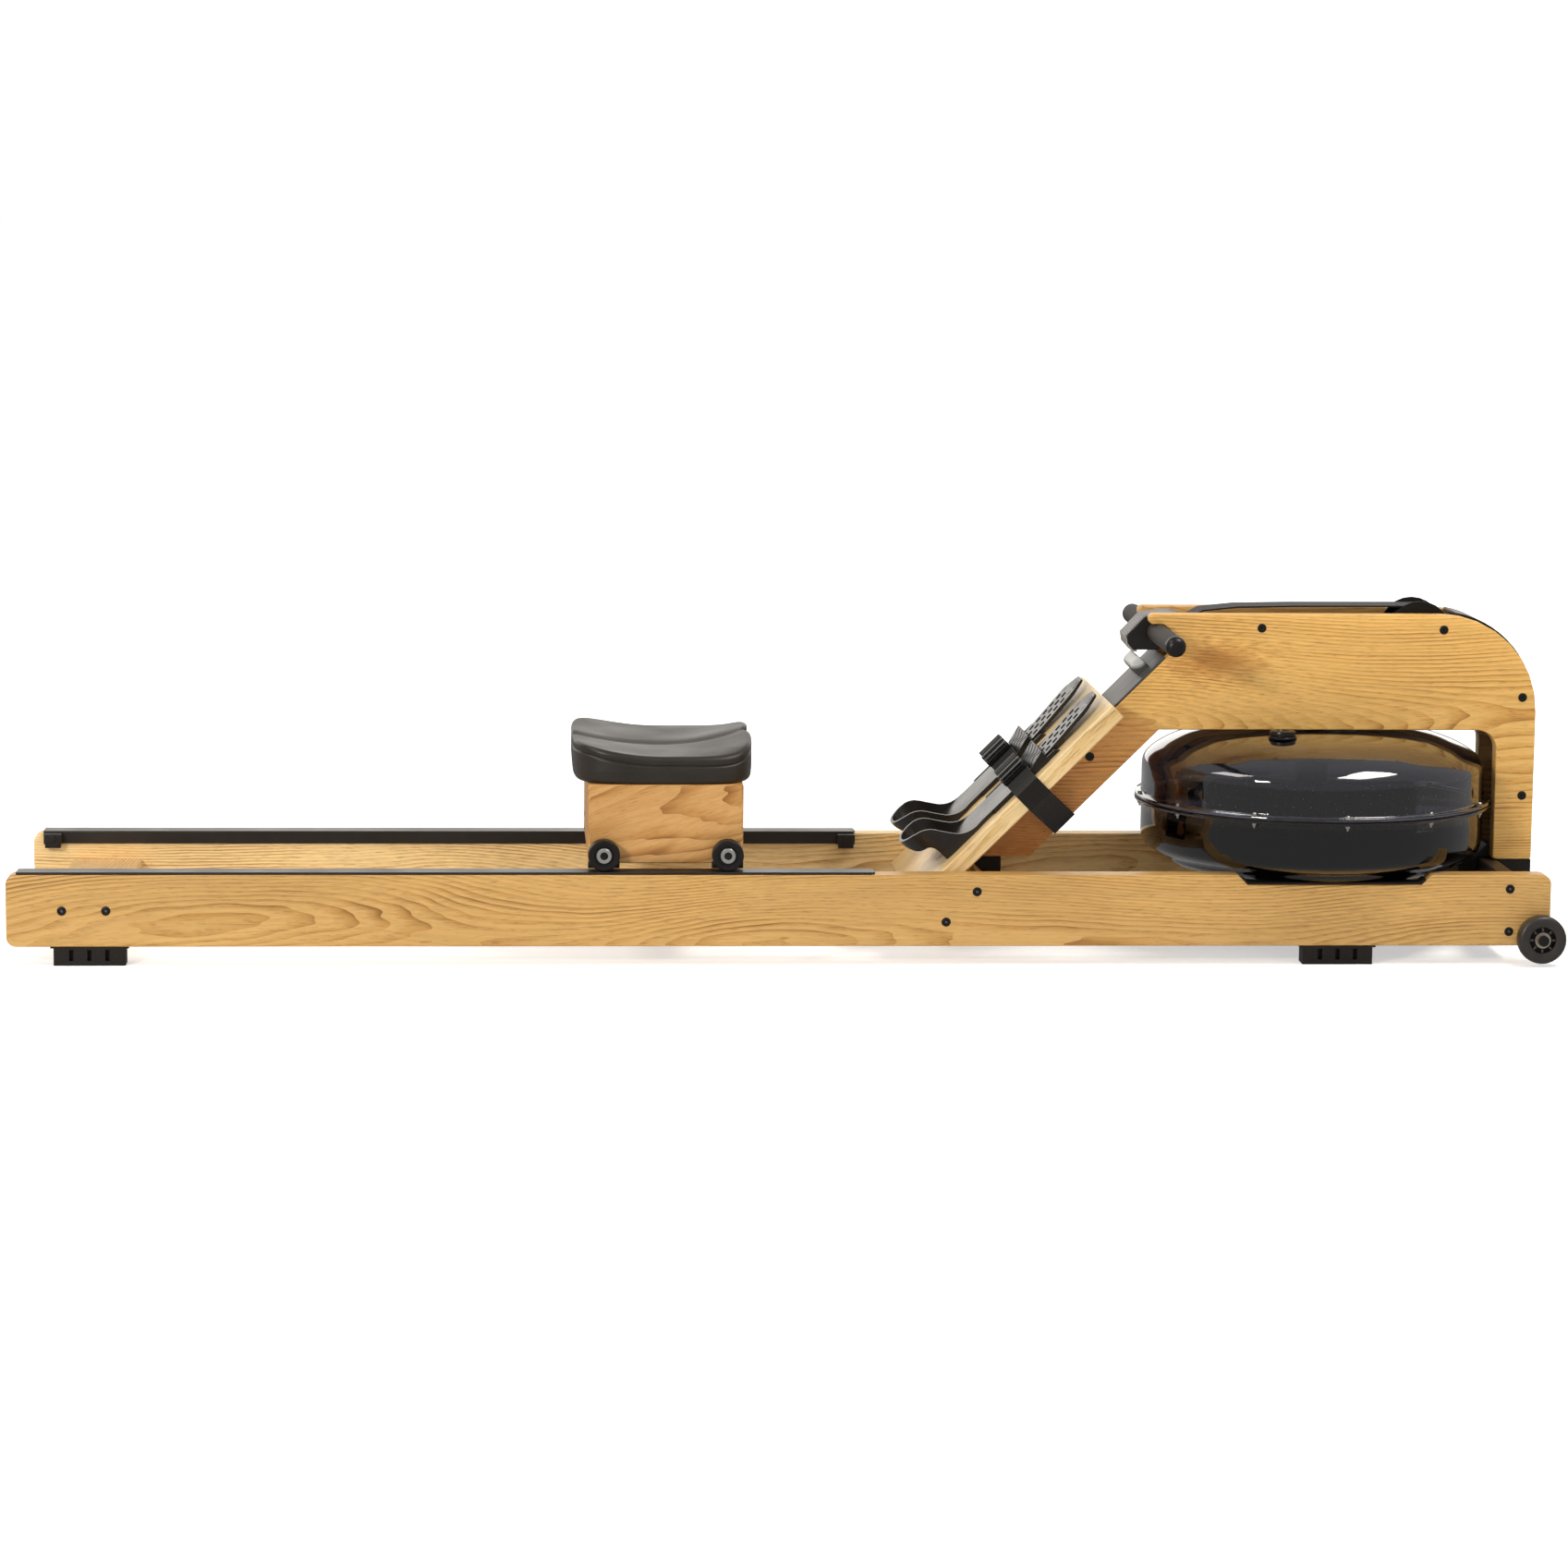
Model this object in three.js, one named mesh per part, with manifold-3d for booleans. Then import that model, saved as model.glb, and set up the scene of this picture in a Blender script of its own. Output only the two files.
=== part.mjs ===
// Water rowing machine: oak frame, seat on rollers, footboard, pull strap drive and water tank.
// Millimetres, +Z up. Stations run along x from the rear end of the rails, y from the middle
// plane and z from the floor; the last group shifts the stations to the middle of the length.
import * as THREE from 'three';
import { mergeVertices } from 'three/addons/utils/BufferGeometryUtils.js';
import Module from 'manifold-3d';

const wasm = await Module();
wasm.setup();

// Driving dimensions
const railLength = 2100;
const railHeight = 98.2;
const railThickness = 32;
const frameWidth = 400;
const footHeight = 26;
const deckHeight = 343;
const panelThickness = 23;
const panelGap = 88.6;
const slopeAngle = Math.PI / 4;
const tankOverhang = 39;
const flangeReach = 9.5;
const tankFrontRoom = 50.5;
const slopeFootRoom = 252.9;
const seatRoom = 412.6;

// Clearances and fineness
const seatGap = 0.3;
const runGap = 0.6;
const cutOverrun = 2;
const arcStep = Math.PI / 12;
const fineArcStep = Math.PI / 30;
const smallTurn = 10;
const roundTurn = 24;
const largeTurn = 40;

// Levels and faces that several pieces share
const railBottom = footHeight;
const railTop = railBottom + railHeight;
const railOuter = frameWidth / 2;
const railInner = railOuter - railThickness;
const panelInner = panelGap / 2;
const panelOuter = panelInner + panelThickness;
const deckTop = railTop + deckHeight;
const tankRadius = railOuter + tankOverhang;
const flangeRadius = tankRadius + flangeReach;
const tankStation = railLength - tankFrontRoom - flangeRadius;
const slopeFootStation = tankStation - flangeRadius - slopeFootRoom;
const seatStation = slopeFootStation - seatRoom;

const part = new THREE.Group();

// Geometry helpers

function weld(geometry) {
  const bare = geometry.clone();
  bare.deleteAttribute('normal');
  bare.deleteAttribute('uv');
  const merged = mergeVertices(bare, 1e-3);
  const source = merged.index.array;
  const position = merged.attributes.position;
  const kept = [];
  for (let i = 0; i < source.length; i += 3) {
    const [a, b, c] = [source[i], source[i + 1], source[i + 2]];
    if (a !== b && b !== c && c !== a) kept.push(a, b, c);
  }
  let volume = 0;
  const corner = [new THREE.Vector3(), new THREE.Vector3(), new THREE.Vector3()];
  for (let i = 0; i < kept.length; i += 3) {
    for (let k = 0; k < 3; k++) corner[k].fromBufferAttribute(position, kept[i + k]);
    volume += corner[0].dot(corner[1].clone().cross(corner[2]));
  }
  if (volume < 0) {
    for (let i = 0; i < kept.length; i += 3) {
      const first = kept[i];
      kept[i] = kept[i + 1];
      kept[i + 1] = first;
    }
  }
  merged.setIndex(kept);
  return merged;
}

function solidOf(geometry) {
  const welded = weld(geometry);
  const vertProperties = new Float32Array(welded.attributes.position.array);
  const triVerts = new Uint32Array(welded.index.array);
  return new wasm.Manifold(new wasm.Mesh({ numProp: 3, vertProperties, triVerts }));
}

function geometryOf(solid) {
  const mesh = solid.getMesh();
  const geometry = new THREE.BufferGeometry();
  const places = [];
  for (let i = 0; i < mesh.vertProperties.length; i += mesh.numProp) {
    places.push(mesh.vertProperties[i], mesh.vertProperties[i + 1], mesh.vertProperties[i + 2]);
  }
  geometry.setAttribute('position', new THREE.Float32BufferAttribute(places, 3));
  geometry.setIndex(Array.from(mesh.triVerts));
  return geometry;
}

function joined(geometries) {
  let solid = solidOf(geometries[0]);
  for (const geometry of geometries.slice(1)) solid = solid.add(solidOf(geometry));
  return geometryOf(solid);
}

function cut(geometry, tools) {
  let solid = solidOf(geometry);
  for (const tool of tools) solid = solid.subtract(solidOf(tool));
  return geometryOf(solid);
}

function common(geometry, other) {
  return geometryOf(solidOf(geometry).intersect(solidOf(other)));
}

// Outline through corners [x, y, radius], with true arcs at the corners that have a radius
function outline(corners, step = arcStep) {
  const points = [];
  corners.forEach(([x, y, radius], i) => {
    const here = new THREE.Vector2(x, y);
    if (!radius) {
      points.push(here);
      return;
    }
    const [px, py] = corners[(i + corners.length - 1) % corners.length];
    const [nx, ny] = corners[(i + 1) % corners.length];
    const back = new THREE.Vector2(px, py).sub(here).normalize();
    const ahead = new THREE.Vector2(nx, ny).sub(here).normalize();
    const half = Math.acos(THREE.MathUtils.clamp(back.dot(ahead), -1, 1)) / 2;
    const centre = back.clone().add(ahead).normalize().multiplyScalar(radius / Math.sin(half)).add(here);
    const start = back.clone().multiplyScalar(radius / Math.tan(half)).add(here).sub(centre);
    const end = ahead.clone().multiplyScalar(radius / Math.tan(half)).add(here).sub(centre);
    const from = start.angle();
    let turn = end.angle() - from;
    if (turn > Math.PI) turn -= 2 * Math.PI;
    if (turn < -Math.PI) turn += 2 * Math.PI;
    const count = Math.max(2, Math.ceil(Math.abs(turn) / step));
    for (let k = 0; k <= count; k++) {
      const angle = from + (turn * k) / count;
      points.push(new THREE.Vector2(Math.cos(angle), Math.sin(angle)).multiplyScalar(radius).add(centre));
    }
  });
  return points;
}

function arc(cx, cy, radius, from, to, step = arcStep) {
  const count = Math.max(2, Math.ceil(Math.abs(to - from) / step));
  const points = [];
  for (let k = 0; k <= count; k++) {
    const angle = from + ((to - from) * k) / count;
    points.push(new THREE.Vector2(cx + radius * Math.cos(angle), cy + radius * Math.sin(angle)));
  }
  return points;
}

function extrusion(points, depth, bevel, holes = []) {
  const shape = new THREE.Shape(points);
  for (const hole of holes) shape.holes.push(new THREE.Path(hole));
  const settings = { depth: depth - 2 * bevel, bevelEnabled: bevel > 0, curveSegments: 1 };
  settings.bevelThickness = bevel;
  settings.bevelSize = bevel;
  settings.bevelOffset = -bevel;
  settings.bevelSegments = 1;
  return new THREE.ExtrudeGeometry(shape, settings).translate(0, 0, bevel);
}

// A side outline in x and z, given width along y from one face to the other
function acrossY(points, fromY, toY, bevel = 0, holes = []) {
  return extrusion(points, toY - fromY, bevel, holes).rotateX(Math.PI / 2).translate(0, toY, 0);
}

// A cross section in y and z, run along x
function alongX(points, fromX, toX, bevel = 0, holes = []) {
  const turn = new THREE.Matrix4().set(0, 0, 1, fromX, 1, 0, 0, 0, 0, 1, 0, 0, 0, 0, 0, 1);
  return extrusion(points, toX - fromX, bevel, holes).applyMatrix4(turn);
}

// A plan outline in x and y, raised along z
function alongZ(points, fromZ, toZ, bevel = 0, holes = []) {
  return extrusion(points, toZ - fromZ, bevel, holes).translate(0, 0, fromZ);
}

function box(x0, x1, y0, y1, z0, z1) {
  const geometry = new THREE.BoxGeometry(x1 - x0, y1 - y0, z1 - z0);
  return geometry.translate((x0 + x1) / 2, (y0 + y1) / 2, (z0 + z1) / 2);
}

// Profile [radius, height] turned round the z axis
function turnedZ(profile, segments) {
  const points = profile.map(([r, h]) => new THREE.Vector2(Math.max(r, 0), h));
  return new THREE.LatheGeometry(points, segments).rotateX(Math.PI / 2);
}

// The same profile turned round the y axis, its heights along y
function turnedY(profile, segments) {
  const points = profile.map(([r, h]) => new THREE.Vector2(Math.max(r, 0), h));
  return new THREE.LatheGeometry(points, segments);
}

function tubeProfile(inner, outer, from, to) {
  return [[inner, from], [outer, from], [outer, to], [inner, to], [inner, from]];
}

// Rings with equal counts of points, closed at both ends
function loft(rings) {
  const places = [];
  const index = [];
  const count = rings[0].length;
  for (const ring of rings) for (const p of ring) places.push(p.x, p.y, p.z);
  for (let r = 0; r + 1 < rings.length; r++) {
    for (let i = 0; i < count; i++) {
      const a = r * count + i;
      const b = r * count + ((i + 1) % count);
      index.push(a, b, a + count, b, b + count, a + count);
    }
  }
  [rings[0], rings[rings.length - 1]].forEach((ring, end) => {
    const middle = new THREE.Vector3();
    for (const p of ring) middle.addScaledVector(p, 1 / count);
    const hub = places.length / 3;
    places.push(middle.x, middle.y, middle.z);
    const base = end * (rings.length - 1) * count;
    for (let i = 0; i < count; i++) {
      const a = base + i;
      const b = base + ((i + 1) % count);
      if (end) index.push(a, b, hub);
      else index.push(b, a, hub);
    }
  });
  const geometry = new THREE.BufferGeometry();
  geometry.setAttribute('position', new THREE.Float32BufferAttribute(places, 3));
  geometry.setIndex(index);
  return geometry;
}

// Round cord through points, its rings mitred at every bend
function swept(points, radius, sides) {
  let normal = null;
  const rings = points.map((p, i) => {
    const into = i ? p.clone().sub(points[i - 1]).normalize() : null;
    const away = i + 1 < points.length ? points[i + 1].clone().sub(p).normalize() : null;
    const way = (into ?? away).clone().add(away ?? into).normalize();
    const seed = normal ?? new THREE.Vector3(0, 0, 1);
    normal = seed.clone().addScaledVector(way, -seed.dot(way)).normalize();
    const side = way.clone().cross(normal);
    const ring = [];
    for (let k = 0; k < sides; k++) {
      const angle = ((k + 1 / 2) * 2 * Math.PI) / sides;
      ring.push(p.clone()
        .addScaledVector(normal, radius * Math.cos(angle))
        .addScaledVector(side, radius * Math.sin(angle)));
    }
    return ring;
  });
  return loft(rings);
}

function mirrored(geometry) {
  return geometry.clone().scale(1, -1, 1);
}

function finish(color, roughness, metalness = 0) {
  return () => new THREE.MeshStandardMaterial({ color, roughness, metalness });
}

const oak = finish(0xd9a860, 0.55);
const paleOak = finish(0xe6c88c, 0.55);
const darkPlastic = finish(0x232321, 0.45);
const rubber = finish(0x1c1c1b, 0.7);
const blackSteel = finish(0x161514, 0.4, 0.6);
const blackAlloy = finish(0x35353a, 0.35, 0.7);
const brightSteel = finish(0xb9bbbd, 0.25, 1);
const webbing = finish(0x1a1918, 0.85);
const smokedPlastic = finish(0x2b2a29, 0.12);

function add(name, geometry, material, parent = part) {
  const mesh = new THREE.Mesh(weld(geometry), material());
  mesh.name = name;
  parent.add(mesh);
  return mesh;
}

// A piece that has a mirror twin on the rower's left
function addPair(name, geometry, material, parent = part) {
  add(`${name}_right`, geometry, material, parent);
  add(`${name}_left`, mirrored(geometry), material, parent);
}

// Bolt heads sunk in round pockets of a wooden face at y, looking towards -y
const boltHeadRadius = 4.4;
const boltHeadHeight = 5;
const pocketRadius = 5.4;
const pocketDepth = 4;
const socketRadius = 2.2;
const socketDepth = 2.5;

function pocket(x, z, face, radius = pocketRadius) {
  const profile = [[0, -cutOverrun], [radius, -cutOverrun], [radius, pocketDepth], [0, pocketDepth]];
  return turnedY(profile, smallTurn).translate(x, face, z);
}

function boltHead(x, z, face) {
  const top = pocketDepth + seatGap - boltHeadHeight;
  const profile = [
    [0, top + socketDepth], [socketRadius, top + socketDepth], [socketRadius, top],
    [boltHeadRadius, top], [boltHeadRadius, top + boltHeadHeight], [0, top + boltHeadHeight],
  ];
  return turnedY(profile, smallTurn).translate(x, face, z);
}

// Tank seat: a shallow notch in the top of both rails with a rubber liner
const notchDepth = 13.8;
const notchRoom = 23;
const linerThickness = 2.6;
const linerRise = 7;
const notchFloorLength = 2 * Math.sqrt(railOuter ** 2 - railInner ** 2) + notchRoom;
const notchMouthLength = notchFloorLength + 2 * notchDepth;
const notchFloor = railTop - notchDepth;
const tankRest = notchFloor + linerThickness + 2 * seatGap;

// Cross members: three like boards, flat at the rear, sloped under the footboard, upright in front
const memberWidth = 96;
const memberThickness = 24;
const memberBoltSpread = 59;
const rearMemberStation = 104;
const frontMemberInset = 57;
const frontMemberStation = railLength - frontMemberInset;
const memberLevel = railBottom + railHeight / 2;
const middleMemberRun = -38.6;
const middleMemberDrop = 11.6;
const cleatInset = 50;
const cleatOffset = railInner - cleatInset;
const cleatWidth = 40;
const cleatLength = 80;

// The slope: footboard and panels share one inclined plane that starts at the rail tops
const slope = { x: Math.cos(slopeAngle), z: Math.sin(slopeAngle) };

function onSlope(run, rise = 0) {
  return [slopeFootStation + run * slope.x - rise * slope.z, railTop + run * slope.z + rise * slope.x];
}

function slopeStationAt(z) {
  return slopeFootStation + (z - railTop) * (slope.x / slope.z);
}

const boardGroup = new THREE.Group();
boardGroup.position.set(slopeFootStation, 0, railTop);
boardGroup.rotation.y = -slopeAngle;
part.add(boardGroup);

const middleMemberRise = -(middleMemberDrop + memberThickness / 2);
const memberBolts = [
  [rearMemberStation - memberBoltSpread / 2, memberLevel],
  [rearMemberStation + memberBoltSpread / 2, memberLevel],
  onSlope(middleMemberRun - memberBoltSpread / 2, middleMemberRise),
  onSlope(middleMemberRun + memberBoltSpread / 2, middleMemberRise),
  [frontMemberStation, memberLevel - memberBoltSpread / 2],
  [frontMemberStation, memberLevel + memberBoltSpread / 2],
];

// Side rails
const railCornerRadius = 13;
const woodEdge = 1.6;

function buildRails() {
  const mouth = notchMouthLength / 2;
  const floor = notchFloorLength / 2;
  const side = outline([
    [0, railBottom, railCornerRadius],
    [railLength, railBottom, railCornerRadius],
    [railLength, railTop, railCornerRadius],
    [tankStation + mouth, railTop, 0],
    [tankStation + floor, notchFloor, 0],
    [tankStation - floor, notchFloor, 0],
    [tankStation - mouth, railTop, 0],
    [0, railTop, railCornerRadius],
  ]);
  const blank = acrossY(side, -railOuter, -railInner, woodEdge);
  const pockets = memberBolts.map(([x, z]) => pocket(x, z, -railOuter));
  const heads = memberBolts.map(([x, z]) => boltHead(x, z, -railOuter));
  addPair('rail', joined([cut(blank, pockets), ...heads]), oak);
}

function buildMembers() {
  const inner = railInner - seatGap;
  const half = memberWidth / 2;
  const thick = memberThickness / 2;
  const board = (length, depth) => outline([
    [-length, -depth, woodEdge], [length, -depth, woodEdge], [length, depth, woodEdge], [-length, depth, woodEdge],
  ], Math.PI / 2);
  const rear = acrossY(board(half, thick), -inner, inner).translate(rearMemberStation, 0, memberLevel);
  const front = acrossY(board(thick, half), -inner, inner).translate(frontMemberStation, 0, memberLevel);
  add('rear_cross_member', rear, paleOak);
  add('front_cross_member', front, paleOak);
  const middle = acrossY(board(half, thick), -inner, inner).translate(middleMemberRun, 0, middleMemberRise);
  const cleats = [-1, 1].map((side) => {
    const y = side * cleatOffset;
    return box(middleMemberRun - cleatLength / 2, middleMemberRun + cleatLength / 2,
      y - cleatWidth / 2, y + cleatWidth / 2, -middleMemberDrop - woodEdge, 0);
  });
  add('middle_cross_member', joined([middle, ...cleats]), paleOak, boardGroup);
}

// Rubber liners of the tank seat
function buildLiners() {
  const floor = notchFloorLength / 2;
  const wall = floor + linerRise;
  const under = notchFloor + seatGap;
  const slant = linerThickness * Math.tan(slopeAngle / 2);
  const side = [
    [tankStation - wall + seatGap, under + linerRise],
    [tankStation - floor + seatGap, under],
    [tankStation + floor - seatGap, under],
    [tankStation + wall - seatGap, under + linerRise],
    [tankStation + wall - seatGap - linerThickness, under + linerRise],
    [tankStation + floor - seatGap - slant, under + linerThickness],
    [tankStation - floor + seatGap + slant, under + linerThickness],
    [tankStation - wall + seatGap + linerThickness, under + linerRise],
  ].map(([x, z]) => new THREE.Vector2(x, z));
  const liner = acrossY(side, -railOuter + woodEdge, -railInner - woodEdge);
  addPair('tank_liner', liner, rubber);
}

// Seat tracks: a pressed angle over each rail with a rounded front end
const trackStart = 14;
const trackEndRoom = 128.6;
const trackEnd = slopeFootStation - trackEndRoom;
const trackThickness = 3;
const trackDrop = 18;
const trackLip = 1.2;
const trackEndRadius = 9;
const trackTop = railTop + seatGap + trackThickness;

function buildTracks() {
  const outer = -railOuter + trackLip;
  const inner = -railInner + seatGap + trackThickness;
  const section = outline([
    [outer, railTop + seatGap, 0],
    [-railInner + seatGap, railTop + seatGap, 0],
    [-railInner + seatGap, trackTop - trackDrop, 0],
    [inner, trackTop - trackDrop, 0],
    [inner, trackTop, trackThickness / 2],
    [outer, trackTop, trackThickness / 2],
  ]);
  const length = alongX(section, trackStart, trackEnd);
  const plan = outline([
    [trackStart, outer - cutOverrun, 0],
    [trackEnd, outer - cutOverrun, trackEndRadius + cutOverrun],
    [trackEnd, inner + cutOverrun, trackEndRadius + cutOverrun],
    [trackStart, inner + cutOverrun, 0],
  ]);
  const keep = alongZ(plan, railBottom, trackTop + cutOverrun);
  addPair('track', joined([common(length, keep), ...buildStops()]), blackAlloy);
}

// End stops on the inner leg of each track, with a rubber block under the steel cap
const stopLength = 25;
const stopReach = 13;
const stopHeight = 14;
const stopPadHeight = 6;
const stopInset = 1.5;
const stopFace = railInner - seatGap - trackThickness;

function buildStops() {
  const top = trackTop - trackThickness;
  return [trackStart + stopInset, trackEnd - stopInset - stopLength].map((start) => {
    const cap = outline([
      [start, top - stopHeight, 0], [start + stopLength, top - stopHeight, 0],
      [start + stopLength, top, stopInset], [start, top, stopInset],
    ]);
    const root = -stopFace - stopInset;
    const tip = -stopFace + stopReach;
    const pad = box(start + stopInset, start + stopLength - stopInset,
      -stopFace, tip - stopInset, top - stopHeight - stopPadHeight, top - stopHeight);
    const screw = turnedY([[0, 0], [boltHeadRadius, 0], [boltHeadRadius, socketDepth], [0, socketDepth]], smallTurn);
    screw.translate(start + stopLength / 2, tip - seatGap, top - stopHeight / 2);
    return joined([acrossY(cap, root, tip), pad, screw]);
  });
}

// Ribbed rubber feet under each rail
const footLength = 96.5;
const footPlateLength = 105;
const footPlateHeight = 2;
const footGrooves = 3;
const footGrooveWidth = 6;
const footGrooveDepth = 8;
const rearFootStation = 111;
const frontFootShift = 6;
const frontFootStation = tankStation + frontFootShift;
const footInset = 1;

function buildFoot(station) {
  const top = railBottom - seatGap;
  const outer = -railOuter + footInset;
  const inner = -railInner - footInset;
  const half = footLength / 2;
  const corners = [[station - half, outer, footInset], [station + half, outer, footInset]];
  corners.push([station + half, inner, footInset], [station - half, inner, footInset]);
  const body = alongZ(outline(corners, Math.PI / 4), 0, top - footPlateHeight / 2);
  const plateHalf = footPlateLength / 2;
  const plate = box(station - plateHalf, station + plateHalf, outer, inner, top - footPlateHeight, top);
  const cuts = [];
  for (let i = 0; i < footGrooves; i++) {
    const x = station + (i - (footGrooves - 1) / 2) * (footLength / (footGrooves + 1));
    const z0 = footHeight / 4;
    const z1 = top - 2 * footPlateHeight;
    for (const face of [outer, inner]) {
      cuts.push(box(x - footGrooveWidth / 2, x + footGrooveWidth / 2,
        face - footGrooveDepth, face + footGrooveDepth, z0, z1));
    }
  }
  return cut(joined([body, plate]), cuts);
}

function buildFeet() {
  addPair('foot_rear', buildFoot(rearFootStation), rubber);
  addPair('foot_front', buildFoot(frontFootStation), rubber);
}

// Transport wheels on stub axles at the front corners of the rails
const wheelInset = 14.7;
const wheelStation = railLength - wheelInset;
const wheelRadius = 33.2;
const wheelWidth = 24;
const wheelLift = 4.1;
const wheelStandOff = 3;
const wheelRimRadius = 21;
const wheelHubRadius = 12.5;
const wheelBoreRadius = 5.3;
const wheelSpokes = 8;
const wheelSpokeWidth = 3.4;
const wheelWebShare = 0.4;
const axleRadius = 5;
const axleHeadRadius = 7.6;
const axleHeadHeight = 4;
const wheelLevel = wheelLift + wheelRadius;
const overallLength = wheelStation + wheelRadius;

function buildWheel() {
  const half = wheelWidth / 2;
  const shoulder = wheelWidth / 4;
  const tread = wheelRadius - wheelWidth / 8;
  const tyre = turnedY([
    [wheelRimRadius, -half + shoulder / 2], [tread, -half], [wheelRadius - shoulder / 3, -half + shoulder / 2],
    [wheelRadius, -half + shoulder], [wheelRadius, half - shoulder],
    [wheelRadius - shoulder / 3, half - shoulder / 2], [tread, half], [wheelRimRadius, half - shoulder / 2],
    [wheelRimRadius, -half + shoulder / 2],
  ], roundTurn);
  const hub = turnedY(tubeProfile(wheelBoreRadius, wheelHubRadius, -half + seatGap, half - seatGap), roundTurn);
  const spokes = [];
  const web = wheelWidth * wheelWebShare / 2;
  for (let i = 0; i < wheelSpokes; i++) {
    const spoke = box(wheelHubRadius - cutOverrun, wheelRimRadius + cutOverrun,
      -web, web, -wheelSpokeWidth / 2, wheelSpokeWidth / 2);
    spokes.push(spoke.rotateY((i * 2 * Math.PI) / wheelSpokes));
  }
  return joined([tyre, hub, ...spokes]);
}

function buildWheels() {
  const middle = railOuter + wheelStandOff + wheelWidth / 2;
  const wheel = buildWheel().translate(wheelStation, -middle, wheelLevel);
  addPair('transport_wheel', wheel, rubber);
  const inner = -railOuter - seatGap;
  const outer = -middle - wheelWidth / 2;
  const axle = turnedY([
    [0, inner], [axleHeadRadius, inner], [axleHeadRadius, -railOuter - wheelStandOff + seatGap],
    [axleRadius, -railOuter - wheelStandOff + seatGap], [axleRadius, outer - seatGap],
    [axleHeadRadius, outer - seatGap], [axleHeadRadius, outer - seatGap - axleHeadHeight],
    [0, outer - seatGap - axleHeadHeight],
  ], smallTurn).translate(wheelStation, 0, wheelLevel);
  addPair('wheel_axle', axle, brightSteel);
}

// Deck panels
const legClearRear = 4.3;
const legClearFront = 0.6;
const beamDepth = 161;
const diagonalLegWidth = 64.8;
const legTankGap = 1;
const panelProud = 1;
const panelFront = railLength + panelProud;
const deckCornerRadius = 135;
const windowRadius = 27;
const legToeRadius = 3;
const tipReach = 85.6;
const barTuck = 15;
const tipStation = slopeStationAt(deckTop) - tipReach;
const barStation = tipStation + barTuck;
const gripRadius = 14;
const tipThickness = 14.4;
const barLevel = deckTop - tipThickness - seatGap - gripRadius;
const vNotchRadius = 6;
const beamBottom = deckTop - beamDepth;
const frontLegInner = tankStation + Math.sqrt(flangeRadius ** 2 - panelInner ** 2) + legTankGap;

// Deck bolts: two in the beam, two in the front leg, one in the diagonal leg
const beamBoltShift = 87.3;
const beamBoltDrop = 19;
const frontBoltInsets = [[132.7, 20.7], [19.3, 114.7], [15.9, 252.4]];
const diagonalLegBoltInset = 33.7;
const diagonalLegBoltDrop = 198.7;
const diagonalLegBoltLevel = deckTop - diagonalLegBoltDrop;
const deckBolts = [
  [tankStation - beamBoltShift, deckTop - beamBoltDrop],
  ...frontBoltInsets.map(([inset, drop]) => [panelFront - inset, deckTop - drop]),
  [slopeStationAt(diagonalLegBoltLevel) + diagonalLegBoltInset, diagonalLegBoltLevel],
];

function panelOutline() {
  const toe = railTop + legClearRear;
  const rearShift = diagonalLegWidth / slope.z;
  const wall = gripRadius + seatGap;
  const tipUnder = deckTop - tipThickness;
  // the grip nests under the tip against a short wall at right angles to the slope
  const wallSum = barStation + barLevel + wall / slope.x;
  const slopeDifference = slopeFootStation - railTop;
  const vee = [(wallSum + slopeDifference) / 2, (wallSum - slopeDifference) / 2];
  return outline([
    [slopeStationAt(toe), toe, legToeRadius],
    [slopeStationAt(toe) + rearShift, toe, legToeRadius],
    [slopeStationAt(beamBottom) + rearShift, beamBottom, legToeRadius],
    [frontLegInner, beamBottom, windowRadius],
    [frontLegInner, railTop + legClearFront, legToeRadius],
    [panelFront, railTop + legClearFront, legToeRadius],
    [panelFront, deckTop, deckCornerRadius],
    [tipStation, deckTop, tipThickness / 2 - woodEdge / 2],
    [tipStation, tipUnder, tipThickness / 2 - woodEdge / 2],
    [wallSum - tipUnder, tipUnder, wall],
    [vee[0], vee[1], vNotchRadius],
  ], fineArcStep * 2);
}

function buildPanels() {
  const blank = acrossY(panelOutline(), -panelOuter, -panelInner, woodEdge);
  const pockets = deckBolts.map(([x, z]) => pocket(x, z, -panelOuter));
  const heads = deckBolts.map(([x, z]) => boltHead(x, z, -panelOuter));
  addPair('deck_panel', joined([cut(blank, pockets), ...heads]), oak);
}

// Distance rods between the panels behind the lower bolts
const spacerRadius = 9;
const rungs = deckBolts.slice(2);
const rungNames = ['upper', 'lower', 'rear'];

function buildSpacers() {
  const half = panelInner - seatGap;
  rungs.forEach(([x, z], i) => {
    const profile = [[0, -half], [spacerRadius, -half], [spacerRadius, half], [0, half]];
    add(`deck_spacer_${rungNames[i]}`, turnedY(profile, smallTurn).translate(x, 0, z), brightSteel);
  });
}

// Steel brackets that carry the panel legs on the cross members
const legBracketDepth = 26;
const rearBracketLength = 47;
const saddleRise = 17;
const saddleCrestLength = 10;
const saddleDrop = 36;
const saddleTankGap = 2.5;
const bracketInset = 1;

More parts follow.
